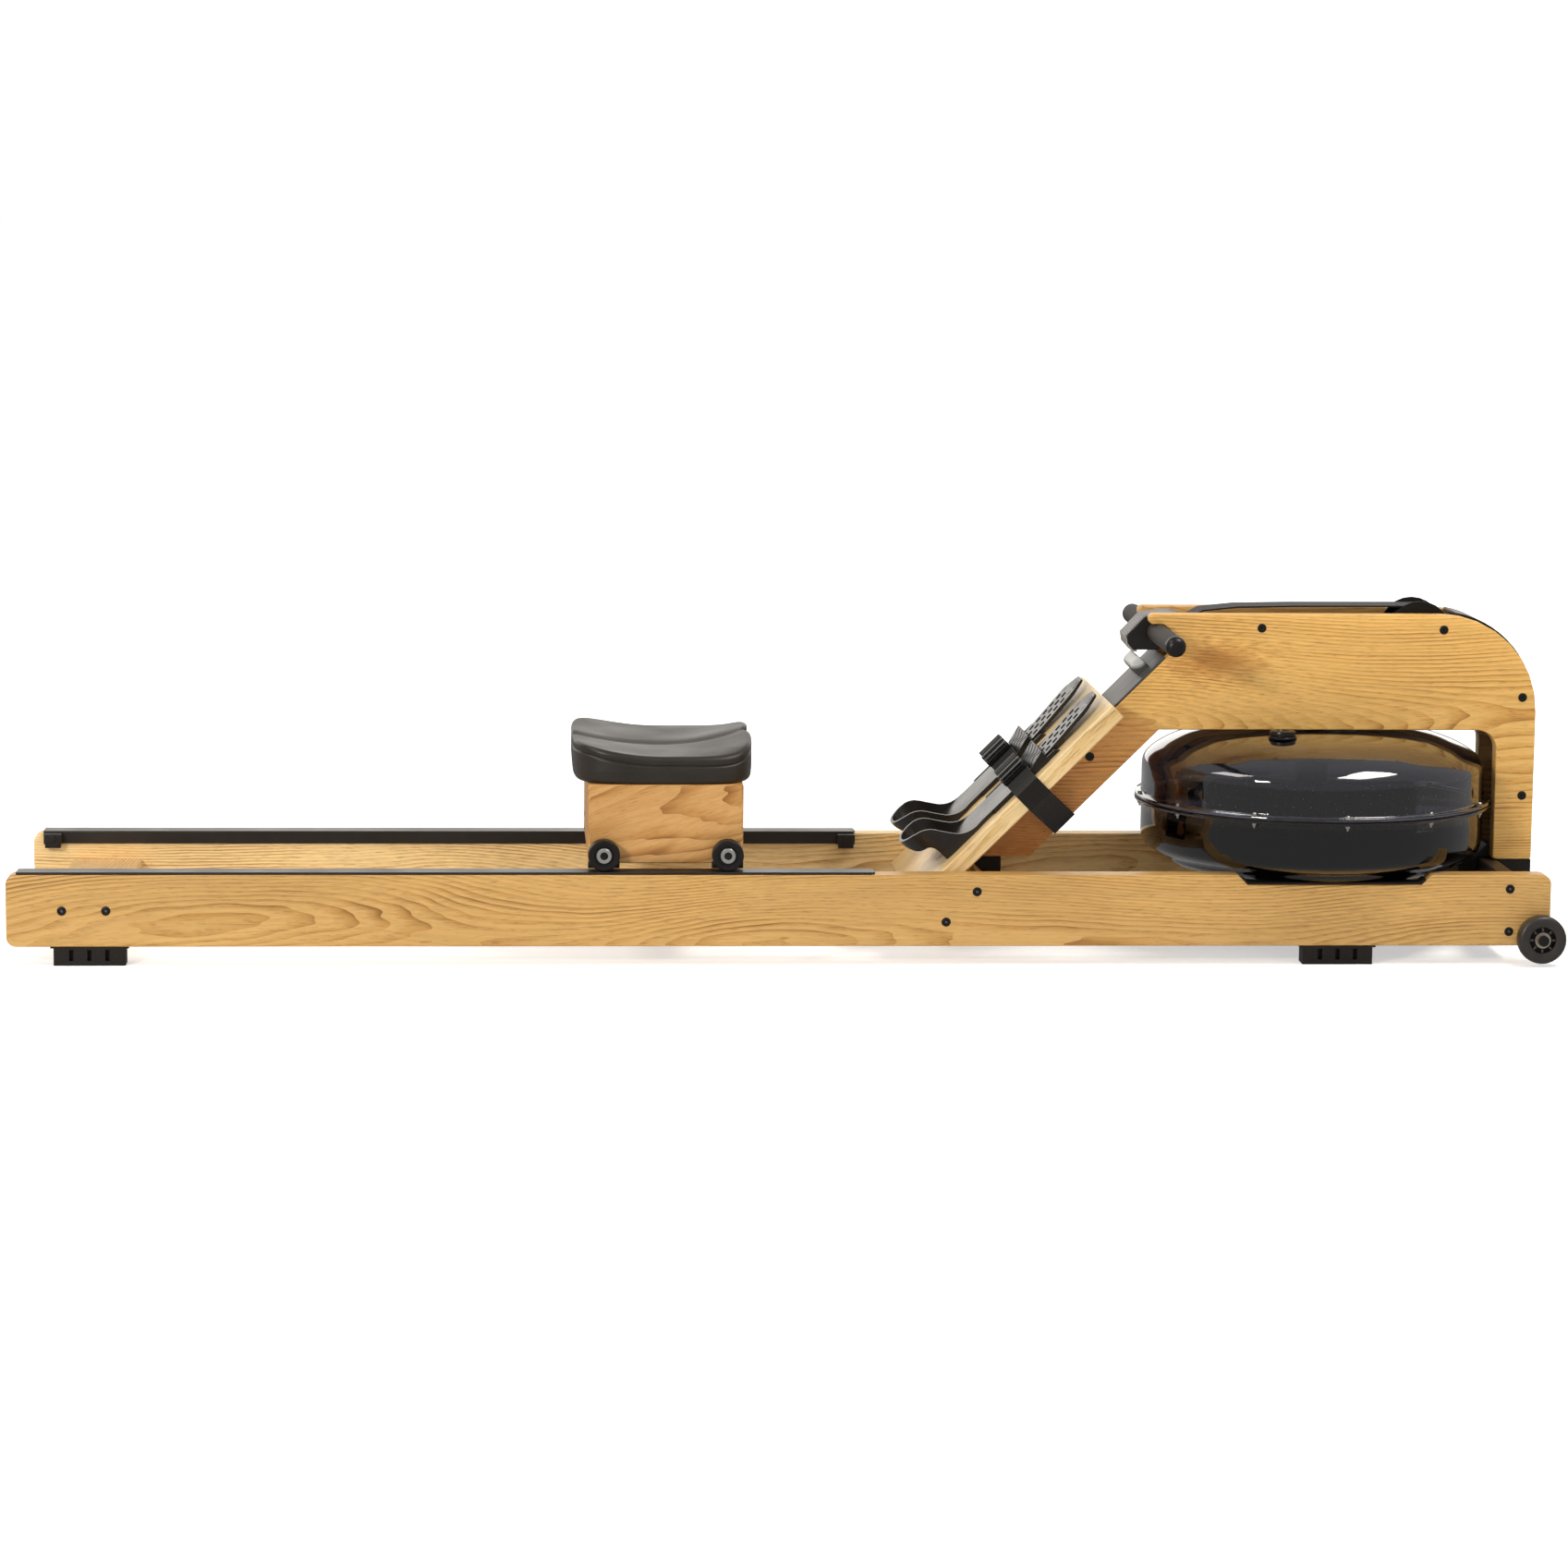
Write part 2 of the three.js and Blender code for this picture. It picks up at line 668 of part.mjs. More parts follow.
function buildLegBrackets() {
  const top = railTop + legClearRear - seatGap;
  const [endX, endZ] = onSlope(middleMemberRun + memberWidth / 2 + seatGap, 0);
  const sum = endX + endZ;
  const rear = outline([
    [sum - top, top, 0],
    [sum - top + rearBracketLength, top, bracketInset],
    [sum - top + rearBracketLength, top - legBracketDepth, bracketInset],
    [sum - top + legBracketDepth, top - legBracketDepth, 0],
  ]);
  const half = panelOuter - bracketInset;
  add('rear_leg_bracket', acrossY(rear, -half, half), blackSteel);

  const level = railTop + legClearFront - seatGap;
  const back = frontMemberStation + memberThickness / 2 + seatGap;
  const seat = railTop + seatGap;
  const base = acrossY(outline([
    [back, level - 2 * legBracketDepth, bracketInset], [panelFront, level - 2 * legBracketDepth, bracketInset],
    [panelFront, level, bracketInset], [back, level, 0],
  ]), -half, half);
  const front = frontMemberStation - memberThickness / 2 - seatGap;
  const underTank = bowlRim.slice(2).reverse().map(([reachShare, depthShare]) => [
    tankStation + railOuter + reachShare * tankOverhang + saddleTankGap,
    flangeUnder - depthShare * bowlDepth - saddleTankGap,
    0,
  ]);
  const crest = railTop + saddleRise;
  const foot = railTop - saddleDrop;
  const crestStart = tankStation + tankRadius + saddleTankGap;
  const crestEnd = crestStart + saddleCrestLength;
  const nose = panelFront - bracketInset;
  const saddle = acrossY(outline([
    [underTank[0][0], foot, 0], ...underTank, [crestStart, crest, bracketInset], [crestEnd, crest, saddleRise],
    [nose, crest - (nose - crestEnd), 0], [nose, foot, 0], [back, foot, 0], [back, seat, 0],
    [front, seat, 0], [front, foot, 0],
  ]), -panelInner + bracketInset, panelInner - bracketInset);
  add('front_leg_bracket', joined([base, saddle]), blackSteel);
}

// Covers between the panels: a strip on the slope and a curved back
const coverThickness = 3;
const slopeCoverInset = 2.4;
const slopeTopRun = deckHeight / slope.z;
const slopeCoverTopRoom = 87.07;
const slopeCoverTopRun = slopeTopRun - slopeCoverTopRoom;
const slopeCoverLength = 98.4;
const boardTopRun = slopeCoverTopRun - slopeCoverLength;
const backCoverProud = 3;
const backCoverThickness = 6;
const backCoverReach = 111;
const backCoverStart = panelFront - backCoverReach;

function buildCovers() {
  const half = panelOuter - slopeCoverInset;
  const strip = box(boardTopRun + seatGap, slopeCoverTopRun, -half, half, seatGap, seatGap + coverThickness);
  add('slope_cover', joined([strip, buildRest()]), darkPlastic, boardGroup);

  const inner = panelInner - seatGap;
  const radius = deckCornerRadius + backCoverProud;
  const cx = panelFront - deckCornerRadius;
  const cz = deckTop - deckCornerRadius;
  const from = Math.acos((backCoverStart - cx) / radius);
  const low = railTop + legClearFront + legToeRadius;
  const outerArc = arc(cx, cz, radius, from, 0, fineArcStep);
  const innerArc = arc(cx, cz, radius - backCoverThickness, 0, from, fineArcStep);
  const foot = [
    new THREE.Vector2(cx + radius, low), new THREE.Vector2(cx + radius - backCoverThickness, low),
  ];
  add('back_cover', acrossY([...outerArc, ...foot, ...innerArc], -inner, inner), darkPlastic);
}

// Moulded rest on the slope cover under the handle yoke
const restTopRoom = 24;
const restLength = 19.4;
const restEndRun = slopeCoverTopRun - restTopRoom;
const restStartRun = restEndRun - restLength;
const restHeight = 25;
const restHalfWidth = 40;

function buildRest() {
  const side = outline([
    [restStartRun, coverThickness / 2, 0], [restEndRun, coverThickness / 2, 0],
    [restEndRun, restHeight, coverThickness], [restStartRun, restHeight, restHeight / 3],
  ]);
  return acrossY(side, -restHalfWidth, restHalfWidth, coverThickness / 2);
}

// Footboard
const boardSideRoom = 3;
const boardHalfWidth = railInner - boardSideRoom;
const boardThickness = 24;
const boardBottomRun = -84.4;
const boardTop = boardThickness + seatGap;

function buildFootboard() {
  const side = outline([
    [boardBottomRun, seatGap, woodEdge], [boardTopRun, seatGap, woodEdge],
    [boardTopRun, boardTop, woodEdge], [boardBottomRun, boardTop, woodEdge],
  ], Math.PI / 2);
  add('footboard', acrossY(side, -boardHalfWidth, boardHalfWidth, woodEdge), paleOak, boardGroup);
}

// Foot plates: a moulded heel cup, a thin sole and a slotted tongue that lifts at its tip
const bridgeSideRoom = 26;
const bridgeMiddleGap = 46;
const bridgeOuter = boardHalfWidth - bridgeSideRoom;
const bridgeHalfWidth = (bridgeOuter - bridgeMiddleGap / 2) / 2;
const plateOffset = bridgeOuter - bridgeHalfWidth;
const plateStagger = 2;
const plateSideRoom = 4;
const soleSideRoom = 7.5;
const tongueSideRoom = 18;
const plateHalfWidth = bridgeHalfWidth - plateSideRoom;
const soleHalfWidth = bridgeHalfWidth - soleSideRoom;
const tongueHalfWidth = bridgeHalfWidth - tongueSideRoom;
const cupWall = 4.5;
const heelRun = -41;
const heelFlat = 8;
const heelRadius = plateHalfWidth - heelFlat;
const cupEndRun = 50;
const soleStartRun = 60;
const soleEndRun = 118;
const tongueStartRun = 140;
const tipRoom = 5.6;
const tipLength = 26;
const tipRun = boardTopRun - tipRoom;
const tipWaistRun = tipRun - tipLength;
const tipRadius = 16;
const tipWidthShare = 0.45;
const liftStartRun = 165;
const liftShare = 0.087;
const tongueThickness = 5;
const tipThinning = 1.5;
const plateGap = 0.6;
const slotEdgeRoom = 17;
const slotPitch = 14.5;
const slotLength = 8;
const slotWidth = 3;
const firstSlotRun = 166;
const cupHeight = 57;
const cupToeReach = 32;
const cupRoom = 3;

// Cup outline from the sole up and from the heel down: shares of the cup's length and height
const cupRimShares = [
  [0.934, 0.111], [0.868, 0.14], [0.813, 0.181], [0.764, 0.233], [0.714, 0.304], [0.654, 0.435], [0.59, 0.582],
  [0.538, 0.711], [0.479, 0.828], [0.412, 0.905], [0.341, 0.953], [0.202, 0.989], [0.077, 1], [0, 1],
];
const cupUnderShares = [
  [0, 0.877], [0.033, 0.754], [0.077, 0.64], [0.132, 0.57], [0.198, 0.544], [0.258, 0.526], [0.297, 0.482],
  [0.325, 0.404], [0.338, 0.298], [0.338, 0.042],
];

function cupPoint([lengthShare, heightShare]) {
  return [heelRun + lengthShare * (cupEndRun - heelRun), heightShare * cupHeight];
}

const cupRim = cupRimShares.map(cupPoint);
const cupUnder = [...cupUnderShares.map(cupPoint), [heelRun + cupToeReach, plateGap]];

function plateSide() {
  const top = plateGap + tongueThickness;
  const lift = (tipRun - liftStartRun) * liftShare;
  const corners = [
    ...cupUnder, [liftStartRun, plateGap], [tipRun, plateGap + lift],
    [tipRun, top + lift - tipThinning], [tipWaistRun, top + (tipWaistRun - liftStartRun) * liftShare],
    [liftStartRun, top], [cupEndRun, top], ...cupRim,
  ];
  return corners.map(([x, h]) => new THREE.Vector2(x, h));
}

function platePlan(inset) {
  const wide = plateHalfWidth - inset;
  const heel = heelRun + inset;
  const half = [
    [heel, wide, heelRadius - inset], [cupEndRun, wide, 0], [soleStartRun, soleHalfWidth, 0],
    [soleEndRun, soleHalfWidth, 0], [tongueStartRun, tongueHalfWidth, 0], [tipWaistRun, tongueHalfWidth, tipRadius],
    [tipRun, tipWidthShare * tongueHalfWidth, tipRadius],
  ];
  return outline([...half.map(([x, y, r]) => [x, -y, r]), ...half.reverse()]);
}

function buildPlate(shift, centre) {
  const tall = cupHeight + cupRoom + cutOverrun;
  const side = acrossY(plateSide(), -plateHalfWidth, plateHalfWidth);
  const body = common(side, alongZ(platePlan(0), 0, tall));
  const floorHeight = plateGap + tongueThickness;
  const floorEdge = offsetLine(cupUnder.map(([x, h]) => new THREE.Vector2(x, h)), cupWall, false);
  const inside = [
    ...floorEdge.slice(0, -1), new THREE.Vector2(heelRun + plateHalfWidth, floorHeight),
    new THREE.Vector2(cupEndRun + cutOverrun, floorHeight), new THREE.Vector2(cupEndRun + cutOverrun, tall),
    new THREE.Vector2(heelRun + cupWall, tall),
  ];
  const hollow = common(
    acrossY(inside, -plateHalfWidth, plateHalfWidth),
    alongZ(platePlan(cupWall), 0, tall + cutOverrun),
  );
  const slots = [];
  const slotCount = Math.floor((tipWaistRun - firstSlotRun) / slotPitch) + 1;
  for (let i = 0; i < slotCount; i++) {
    for (const row of [-1, 1]) {
      const x = firstSlotRun + i * slotPitch;
      const y = row * (tongueHalfWidth - slotEdgeRoom);
      slots.push(box(x - slotLength / 2, x + slotLength / 2, y - slotWidth / 2, y + slotWidth / 2, -cutOverrun, tall));
    }
  }
  return cut(body, [hollow, ...slots]).translate(shift, centre, boardTop);
}

// Guide bridges over the tongues, with low side lips that guide the soles
const bridgeStart = 158;
const bridgeEnd = 186;
const bridgeLow = 10.6;
const bridgeHigh = 18;
const bridgeRoof = 2.5;
const bridgeTunnelGap = 1.4;
const lipStart = 80;
const lipEnd = 206;
const lipSideRoom = 2;
const lipWidth = 3.5;
const lipOuter = bridgeHalfWidth - lipSideRoom;
const lipInner = lipOuter - lipWidth;
const lipHeight = 6.5;
const lipSlant = 5;

function buildBridge(centre) {
  const tunnel = tongueHalfWidth + bridgeTunnelGap;
  const block = acrossY([
    new THREE.Vector2(bridgeStart, seatGap), new THREE.Vector2(bridgeEnd, seatGap),
    new THREE.Vector2(bridgeEnd, bridgeHigh), new THREE.Vector2(bridgeStart, bridgeLow),
  ], -bridgeHalfWidth, bridgeHalfWidth);
  const space = acrossY([
    new THREE.Vector2(bridgeStart - cutOverrun, 0), new THREE.Vector2(bridgeEnd + cutOverrun, 0),
    new THREE.Vector2(bridgeEnd + cutOverrun, bridgeHigh - bridgeRoof),
    new THREE.Vector2(bridgeStart - cutOverrun, bridgeLow - bridgeRoof),
  ], -tunnel, tunnel);
  const lipSide = [
    new THREE.Vector2(lipStart, seatGap), new THREE.Vector2(lipEnd, seatGap),
    new THREE.Vector2(lipEnd - lipSlant, lipHeight), new THREE.Vector2(lipStart + lipSlant, lipHeight),
  ];
  const lips = [acrossY(lipSide, lipInner, lipOuter), acrossY(lipSide, -lipOuter, -lipInner)];
  return joined([cut(block, [space]), ...lips]).translate(0, centre, boardTop);
}

// One webbing strap wraps the board, the panels and both foot plates, with a buckle on each arch
const strapStart = 118.6;
const strapWidth = 38.6;
const strapThickness = 1.8;
const buckleLength = 41;
const buckleHalfWidth = 13;
const buckleHeight = 11;
const buckleRibs = 6;
const buckleEdge = 3.6;
const ribGroove = 2;
const strapRise = 38;

// Arch of the strap over both shoes: shares of the board's half width and of the strap's rise
const rightBuckleShares = [[-0.836, 0.289], [-0.606, 0.737]];
const leftBuckleShares = [[0.145, 0.447], [0.376, 0.921]];
const strapCrestShares = [
  [-1, 0.053], [-0.909, 0.132], ...rightBuckleShares, [-0.509, 0.842], [-0.4, 0.789], [-0.279, 0.553],
  [-0.17, 0.263], [-0.073, 0.092], [0, 0.053], [0.067, 0.184], ...leftBuckleShares, [0.497, 1], [0.606, 0.921],
  [0.727, 0.711], [0.848, 0.368], [0.939, 0.132], [1, 0.053],
];

function crestPoint([widthShare, riseShare]) {
  return [widthShare * boardHalfWidth, riseShare * strapRise];
}

// Loop or line moved sideways by a distance, with mitred corners
function offsetLine(points, distance, closed) {
  const count = points.length;
  return points.map((p, i) => {
    const before = points[(i + count - 1) % count];
    const after = points[(i + 1) % count];
    const into = p.clone().sub(before).normalize();
    const away = after.clone().sub(p).normalize();
    const first = !closed && i === 0 ? away : into;
    const second = !closed && i === count - 1 ? into : away;
    const a = new THREE.Vector2(-first.y, first.x);
    const b = new THREE.Vector2(-second.y, second.x);
    const mitre = a.clone().add(b).normalize();
    return p.clone().addScaledVector(mitre, distance / mitre.dot(b));
  });
}

function buildFootStrap() {
  const half = strapThickness / 2;
  const edge = boardHalfWidth + seatGap + half + seatGap;
  const under = seatGap + half;
  const behind = diagonalLegWidth + seatGap + half + seatGap;
  const leg = panelOuter + seatGap + half + seatGap;
  const crest = strapCrestShares.map(crestPoint).map(([y, h]) => new THREE.Vector2(y, boardTop + h));
  const loop = [
    new THREE.Vector2(-edge, -under), new THREE.Vector2(-leg, -behind), new THREE.Vector2(leg, -behind),
    new THREE.Vector2(edge, -under), new THREE.Vector2(edge, boardTop + half), ...crest.slice(1, -1).reverse(),
    new THREE.Vector2(-edge, boardTop + half),
  ];
  const section = offsetLine(loop, -half, true);
  const hole = offsetLine(loop, half, true);
  const strap = alongX(section, strapStart, strapStart + strapWidth, 0, [hole]);
  add('foot_strap', strap, webbing, boardGroup);
}

function buildBuckle(name, spanShares) {
  const [[y0, h0], [y1, h1]] = spanShares.map(crestPoint);
  const tilt = Math.atan2(h1 - h0, y1 - y0);
  const group = new THREE.Group();
  group.position.set(strapStart + strapWidth / 2, (y0 + y1) / 2, boardTop + (h0 + h1) / 2);
  group.rotation.x = tilt;
  boardGroup.add(group);
  const base = strapThickness / 2 + seatGap;
  const points = [];
  for (const p of arc(0, 0, 1, 0, Math.PI)) {
    points.push(new THREE.Vector2(buckleHalfWidth * p.x, base + buckleHeight * p.y));
  }
  const half = buckleLength / 2;
  const body = alongX(points, -half, half);
  const grooves = [];
  for (let i = 1; i <= buckleRibs; i++) {
    const angle = (i * Math.PI) / (buckleRibs + 1);
    const y = buckleHalfWidth * Math.cos(angle);
    const z = base + buckleHeight * Math.sin(angle);
    grooves.push(box(-half + buckleEdge, half - buckleEdge,
      y - ribGroove / 2, y + ribGroove / 2, z - ribGroove / 2, z + ribGroove / 2));
  }
  add(name, cut(body, grooves), darkPlastic, group);
}

// Handle: a steel bar with two sleeves and a moulded yoke that holds the strap end
const barRadius = 10;
const handleHalfLength = 226;
const yokeHalfWidth = 27.5;
const yokeEdge = 1;
const collarLength = 9;
const collarRadius = 13;
const collarStep = 2;
const gripEndRadius = 9;
const gripEndLength = 3;
const gripEndStep = 1.5;
const yokeLength = 59;
const yokeHeight = 50;
const yokeRounding = 9;

// Yoke corners about the bar: shares of the yoke's length, height and largest rounding
const yokeShares = [
  [-0.525, -0.51, 0.444], [0.068, -0.51, 0.667], [0.305, -0.16, 0.889], [0.305, 0.49, 0.444],
  [-0.271, 0.41, 1], [-0.695, -0.11, 0.556], [-0.661, -0.33, 0.444],
];
const yokeCorners = yokeShares.map(([x, z, r]) => [x * yokeLength, z * yokeHeight, r * yokeRounding]);

function circle(x, y, radius) {
  return arc(x, y, radius, 0, 2 * Math.PI).slice(0, -1);
}

function buildHandle() {
  const place = (geometry) => geometry.translate(barStation, 0, barLevel);
  const half = handleHalfLength - gripEndRadius / 2;
  const bar = turnedY([[0, -half], [barRadius, -half], [barRadius, half], [0, half]], roundTurn);
  add('handle_bar', place(bar), brightSteel);
  const bore = barRadius + seatGap;
  const from = yokeHalfWidth + seatGap;
  const end = handleHalfLength;
  const sleeve = turnedY([
    [0, end], [gripEndRadius, end], [gripRadius - gripEndStep, end - gripEndLength],
    [gripRadius, end - gripEndRadius], [gripRadius, from + collarLength + collarStep],
    [collarRadius, from + collarLength], [collarRadius, from],
    [bore, from], [bore, half + seatGap], [0, half + seatGap],
  ], roundTurn);
  add('grip_left', place(sleeve), rubber);
  add('grip_right', mirrored(sleeve), rubber);
  const yoke = acrossY(outline(yokeCorners), -yokeHalfWidth, yokeHalfWidth, yokeEdge, [circle(0, 0, bore)]);
  add('handle_yoke', place(yoke), darkPlastic);
}

// Strap drive: front roller, deck pulley, drum on the upright shaft
const beltWidth = 55;
const beltThickness = 2.2;
const beltSideRoom = 1.5;
const pulleyInset = 160;
const pulleyDrop = 29;
const pulleyRadius = 35.5;
const pulleyFlange = 44.7;
const flangeThickness = 3;
const pulleyAxleRadius = 8;
const rollerShift = 59;
const rollerRadius = 9;
const rollerDrop = 19.6;
const drumRadius = 31.6;
const drumFlange = 41.5;
const shaftRadius = 8;
const spoolRadius = 20;
const spoolFlange = 26;
const spoolDrop = 106;
const spoolHeight = 16;
const cordRadius = 3.5;
const cordSides = 8;
const cordRollerShift = 43;
const cordRollerRadius = 16;
const cordRollerFlange = 19;
const cordRollerFlangeThickness = 2;
const cordGrooveRoom = 1;
const beltTurns = 1.5;
const beltPitch = 3.1;
const pulleyStation = panelFront - pulleyInset;
const rollerStation = tipStation + rollerShift;
const cordRollerStation = tipStation + cordRollerShift;
const pulleyLevel = deckTop - pulleyDrop;
const beltCentre = pulleyRadius + seatGap + beltThickness / 2;
const beltLow = pulleyLevel - beltCentre;
const spoolLevel = deckTop - spoolDrop;

function buildRollers() {
  const half = panelInner - seatGap;
  const side = beltWidth / 2 + beltSideRoom;
  const rod = pulleyAxleRadius + seatGap;
  const pulley = turnedY([
    [rod, -side - flangeThickness], [pulleyFlange, -side - flangeThickness], [pulleyFlange, -side],
    [pulleyRadius, -side], [pulleyRadius, side], [pulleyFlange, side], [pulleyFlange, side + flangeThickness],
    [rod, side + flangeThickness], [rod, -side - flangeThickness],
  ], roundTurn).translate(pulleyStation, 0, pulleyLevel);
  add('deck_pulley', pulley, darkPlastic);
  const axle = turnedY([
    [0, -half], [pulleyAxleRadius, -half], [pulleyAxleRadius, half], [0, half],
  ], smallTurn).translate(pulleyStation, 0, pulleyLevel);
  add('pulley_axle', axle, brightSteel);
  const roller = turnedY([
    [0, -half], [rollerRadius / 2, -half], [rollerRadius / 2, -side], [rollerRadius, -side],
    [rollerRadius, side], [rollerRadius / 2, side], [rollerRadius / 2, half], [0, half],
  ], smallTurn).translate(rollerStation, 0, deckTop - rollerDrop);
  add('front_roller', roller, darkPlastic);
  const y = spoolRadius + cordRadius + seatGap;
  const groove = cordRadius + cordGrooveRoom;
  const pin = cordRollerRadius / 4;
  const waist = cordRollerRadius / 2;
  const cheek = groove + cordRollerFlangeThickness;
  const cordRoller = turnedY([
    [0, -half], [pin, -half], [pin, -y - cheek], [cordRollerFlange, -y - cheek], [cordRollerFlange, -y - groove],
    [cordRollerRadius, -y - cordRadius], [cordRollerRadius, -y + cordRadius], [cordRollerFlange, -y + groove],
    [cordRollerFlange, -y + cheek], [waist, -y + cheek], [waist, half], [0, half],
  ], roundTurn).translate(cordRollerStation, 0, spoolLevel - cordRollerRadius - cordRadius);
  add('cord_roller', cordRoller, darkPlastic);
}

function buildDrum() {
  const half = beltWidth / 2 + beltSideRoom;
  const bore = shaftRadius + seatGap;
  const low = spoolLevel - spoolHeight / 2;
  const foot = low - flangeThickness;
  const bottom = beltLow - half - flangeThickness;
  const top = beltLow + half + flangeThickness;
  const drum = turnedZ([
    [bore, foot], [spoolFlange, foot], [spoolFlange, low], [spoolRadius, low], [spoolRadius, bottom],
    [drumFlange, bottom], [drumFlange, bottom + flangeThickness], [drumRadius, bottom + flangeThickness],
    [drumRadius, top - flangeThickness], [drumFlange, top - flangeThickness], [drumFlange, top],
    [bore, top], [bore, foot],
  ], roundTurn).translate(tankStation, 0, 0);
  add('strap_drum', drum, darkPlastic);
}

// Belt as a chain of flat rings: centre, way ahead and width direction at each step
const wrapTuck = 5;
const beltCrestReach = 30;
const beltCrestDrop = 4;
const rollerFlatShare = 0.45;
const rollerLeaveShare = 2.4;
const beltRise = 1;
const beltSpanShares = [[0.16, -0.9], [0.42, -0.23], [0.73, 0]];
const twistRoom = 2;
const twistSteps = 10;
const bendSteps = 14;
const windingSteps = 24;

function beltSideLine() {
  const lift = beltThickness / 2 + seatGap;
  const yoke = yokeCorners.map(([x, z]) => new THREE.Vector2(barStation + x, barLevel + z));
  const wrapStart = yoke[0].clone();
  wrapStart.x += wrapTuck;
  const wrap = [wrapStart, yoke[0], yoke[6], yoke[5], yoke[4], yoke[3]];
  const rollerTop = deckTop - rollerDrop + rollerRadius + lift + seatGap;
  const high = pulleyLevel + beltCentre;
  const leave = rollerStation + rollerRadius * rollerLeaveShare;
  const span = pulleyStation - leave;
  return [
    ...offsetLine(wrap, lift, false),
    new THREE.Vector2(barStation + beltCrestReach, deckTop - beltCrestDrop),
    new THREE.Vector2(rollerStation - rollerRadius * rollerFlatShare, rollerTop),
    new THREE.Vector2(rollerStation + rollerRadius * rollerFlatShare, rollerTop),
    new THREE.Vector2(leave, deckTop + beltRise),
    ...beltSpanShares.map(([share, sagShare]) => (
      new THREE.Vector2(leave + share * span, high + sagShare * beltThickness)
    )),
    new THREE.Vector2(pulleyStation, high),
  ];
}

function beltRings() {
  const rings = [];
  const across = new THREE.Vector3(0, 1, 0);
  const upright = new THREE.Vector3(0, 0, 1);
  const put = (centre, ahead, width, stretch = 1) => {
    const side = width.clone().addScaledVector(ahead, -width.dot(ahead)).normalize();
    const face = ahead.clone().cross(side).normalize();
    const w = side.multiplyScalar(beltWidth / 2);
    const t = face.multiplyScalar((stretch * beltThickness) / 2);
    rings.push([
      centre.clone().add(w).add(t), centre.clone().sub(w).add(t),
      centre.clone().sub(w).sub(t), centre.clone().add(w).sub(t),
    ]);
  };
  const line = beltSideLine();
  line.forEach((p, i) => {
    const into = i ? p.clone().sub(line[i - 1]).normalize() : null;
    const away = i + 1 < line.length ? line[i + 1].clone().sub(p).normalize() : null;
    const way = (into ?? away).clone().add(away ?? into).normalize();
    const stretch = 1 / Math.max(way.dot(into ?? way), 1 / 2);
    put(new THREE.Vector3(p.x, 0, p.y), new THREE.Vector3(way.x, 0, way.y), across, stretch);
  });
  for (let i = 1; i <= bendSteps; i++) {
    const angle = Math.PI / 2 - (i * Math.PI) / bendSteps;
    const radial = new THREE.Vector3(Math.cos(angle), 0, Math.sin(angle));
    const ahead = new THREE.Vector3(Math.sin(angle), 0, -Math.cos(angle));
    const centre = new THREE.Vector3(pulleyStation, 0, pulleyLevel).addScaledVector(radial, beltCentre);
    put(centre, ahead, across);
  }
  const twistStart = pulleyStation - pulleyFlange - twistRoom;
  const twistEnd = tankStation + drumFlange / 2;
  const outerRadius = drumRadius + seatGap + beltThickness / 2 + beltTurns * beltPitch;
  for (let i = 0; i <= twistSteps; i++) {
    const t = i / twistSteps;
    const ease = t * t * (3 - 2 * t);
    const drift = (6 * t * (1 - t) * outerRadius) / (twistStart - twistEnd);
    const centre = new THREE.Vector3(twistStart + (twistEnd - twistStart) * t, outerRadius * ease, beltLow);
    const ahead = new THREE.Vector3(-1, drift, 0).normalize();
    const phi = (ease * Math.PI) / 2;
    const width = across.clone().multiplyScalar(Math.cos(phi)).addScaledVector(upright, -Math.sin(phi));
    put(centre, ahead, width);
  }
  for (let i = 0; i <= Math.round(beltTurns * windingSteps); i++) {
    const turn = i / windingSteps;
    const angle = Math.PI / 2 + turn * 2 * Math.PI;
    const radial = new THREE.Vector3(Math.cos(angle), Math.sin(angle), 0);
    const ahead = new THREE.Vector3(-Math.sin(angle), Math.cos(angle), 0);
    const centre = new THREE.Vector3(tankStation, 0, beltLow).addScaledVector(radial, outerRadius - beltPitch * turn);
    put(centre, ahead, upright.clone().negate());
  }
  return rings;
}

function buildBelt() {
  add('pull_strap', loft(beltRings()), finish(0x8f9092, 0.75));
}

// Elastic cord: round the spool, over the front roller and back to the upper spacer
const cordLeadLength = 60;
const cordSagRise = 4;
const cordHookRoom = 0.7;
const spoolBendSteps = 9;
const rollerBendSteps = 10;

function buildCord() {
  const radius = spoolRadius + cordRadius + seatGap;
  const y = -radius;
  const points = [];
  for (let i = 0; i <= spoolBendSteps; i++) {
    const angle = Math.PI / 2 - (i * Math.PI) / spoolBendSteps;
    points.push(new THREE.Vector3(tankStation + radius * Math.cos(angle), radius * Math.sin(angle), spoolLevel));
  }
  points.push(new THREE.Vector3(tankStation - cordLeadLength, y, spoolLevel));
  points.push(new THREE.Vector3(cordRollerStation + cordLeadLength, y, spoolLevel));
  const middle = spoolLevel - cordRollerRadius - cordRadius;
  const bend = cordRollerRadius + cordRadius + 2 * seatGap;
  for (let i = 0; i <= rollerBendSteps; i++) {
    const angle = Math.PI / 2 + (i * Math.PI) / rollerBendSteps;
    points.push(new THREE.Vector3(cordRollerStation + bend * Math.cos(angle), y, middle + bend * Math.sin(angle)));
  }
  const [hookX, hookZ] = rungs[0];
  points.push(new THREE.Vector3(cordRollerStation + cordLeadLength, y, middle - bend));
  points.push(new THREE.Vector3(tankStation + cordLeadLength, y, middle - bend + cordSagRise));
  points.push(new THREE.Vector3(hookX - spacerRadius - cordHookRoom, y, hookZ));
  add('recoil_cord', swept(points, cordRadius, cordSides), webbing);
}

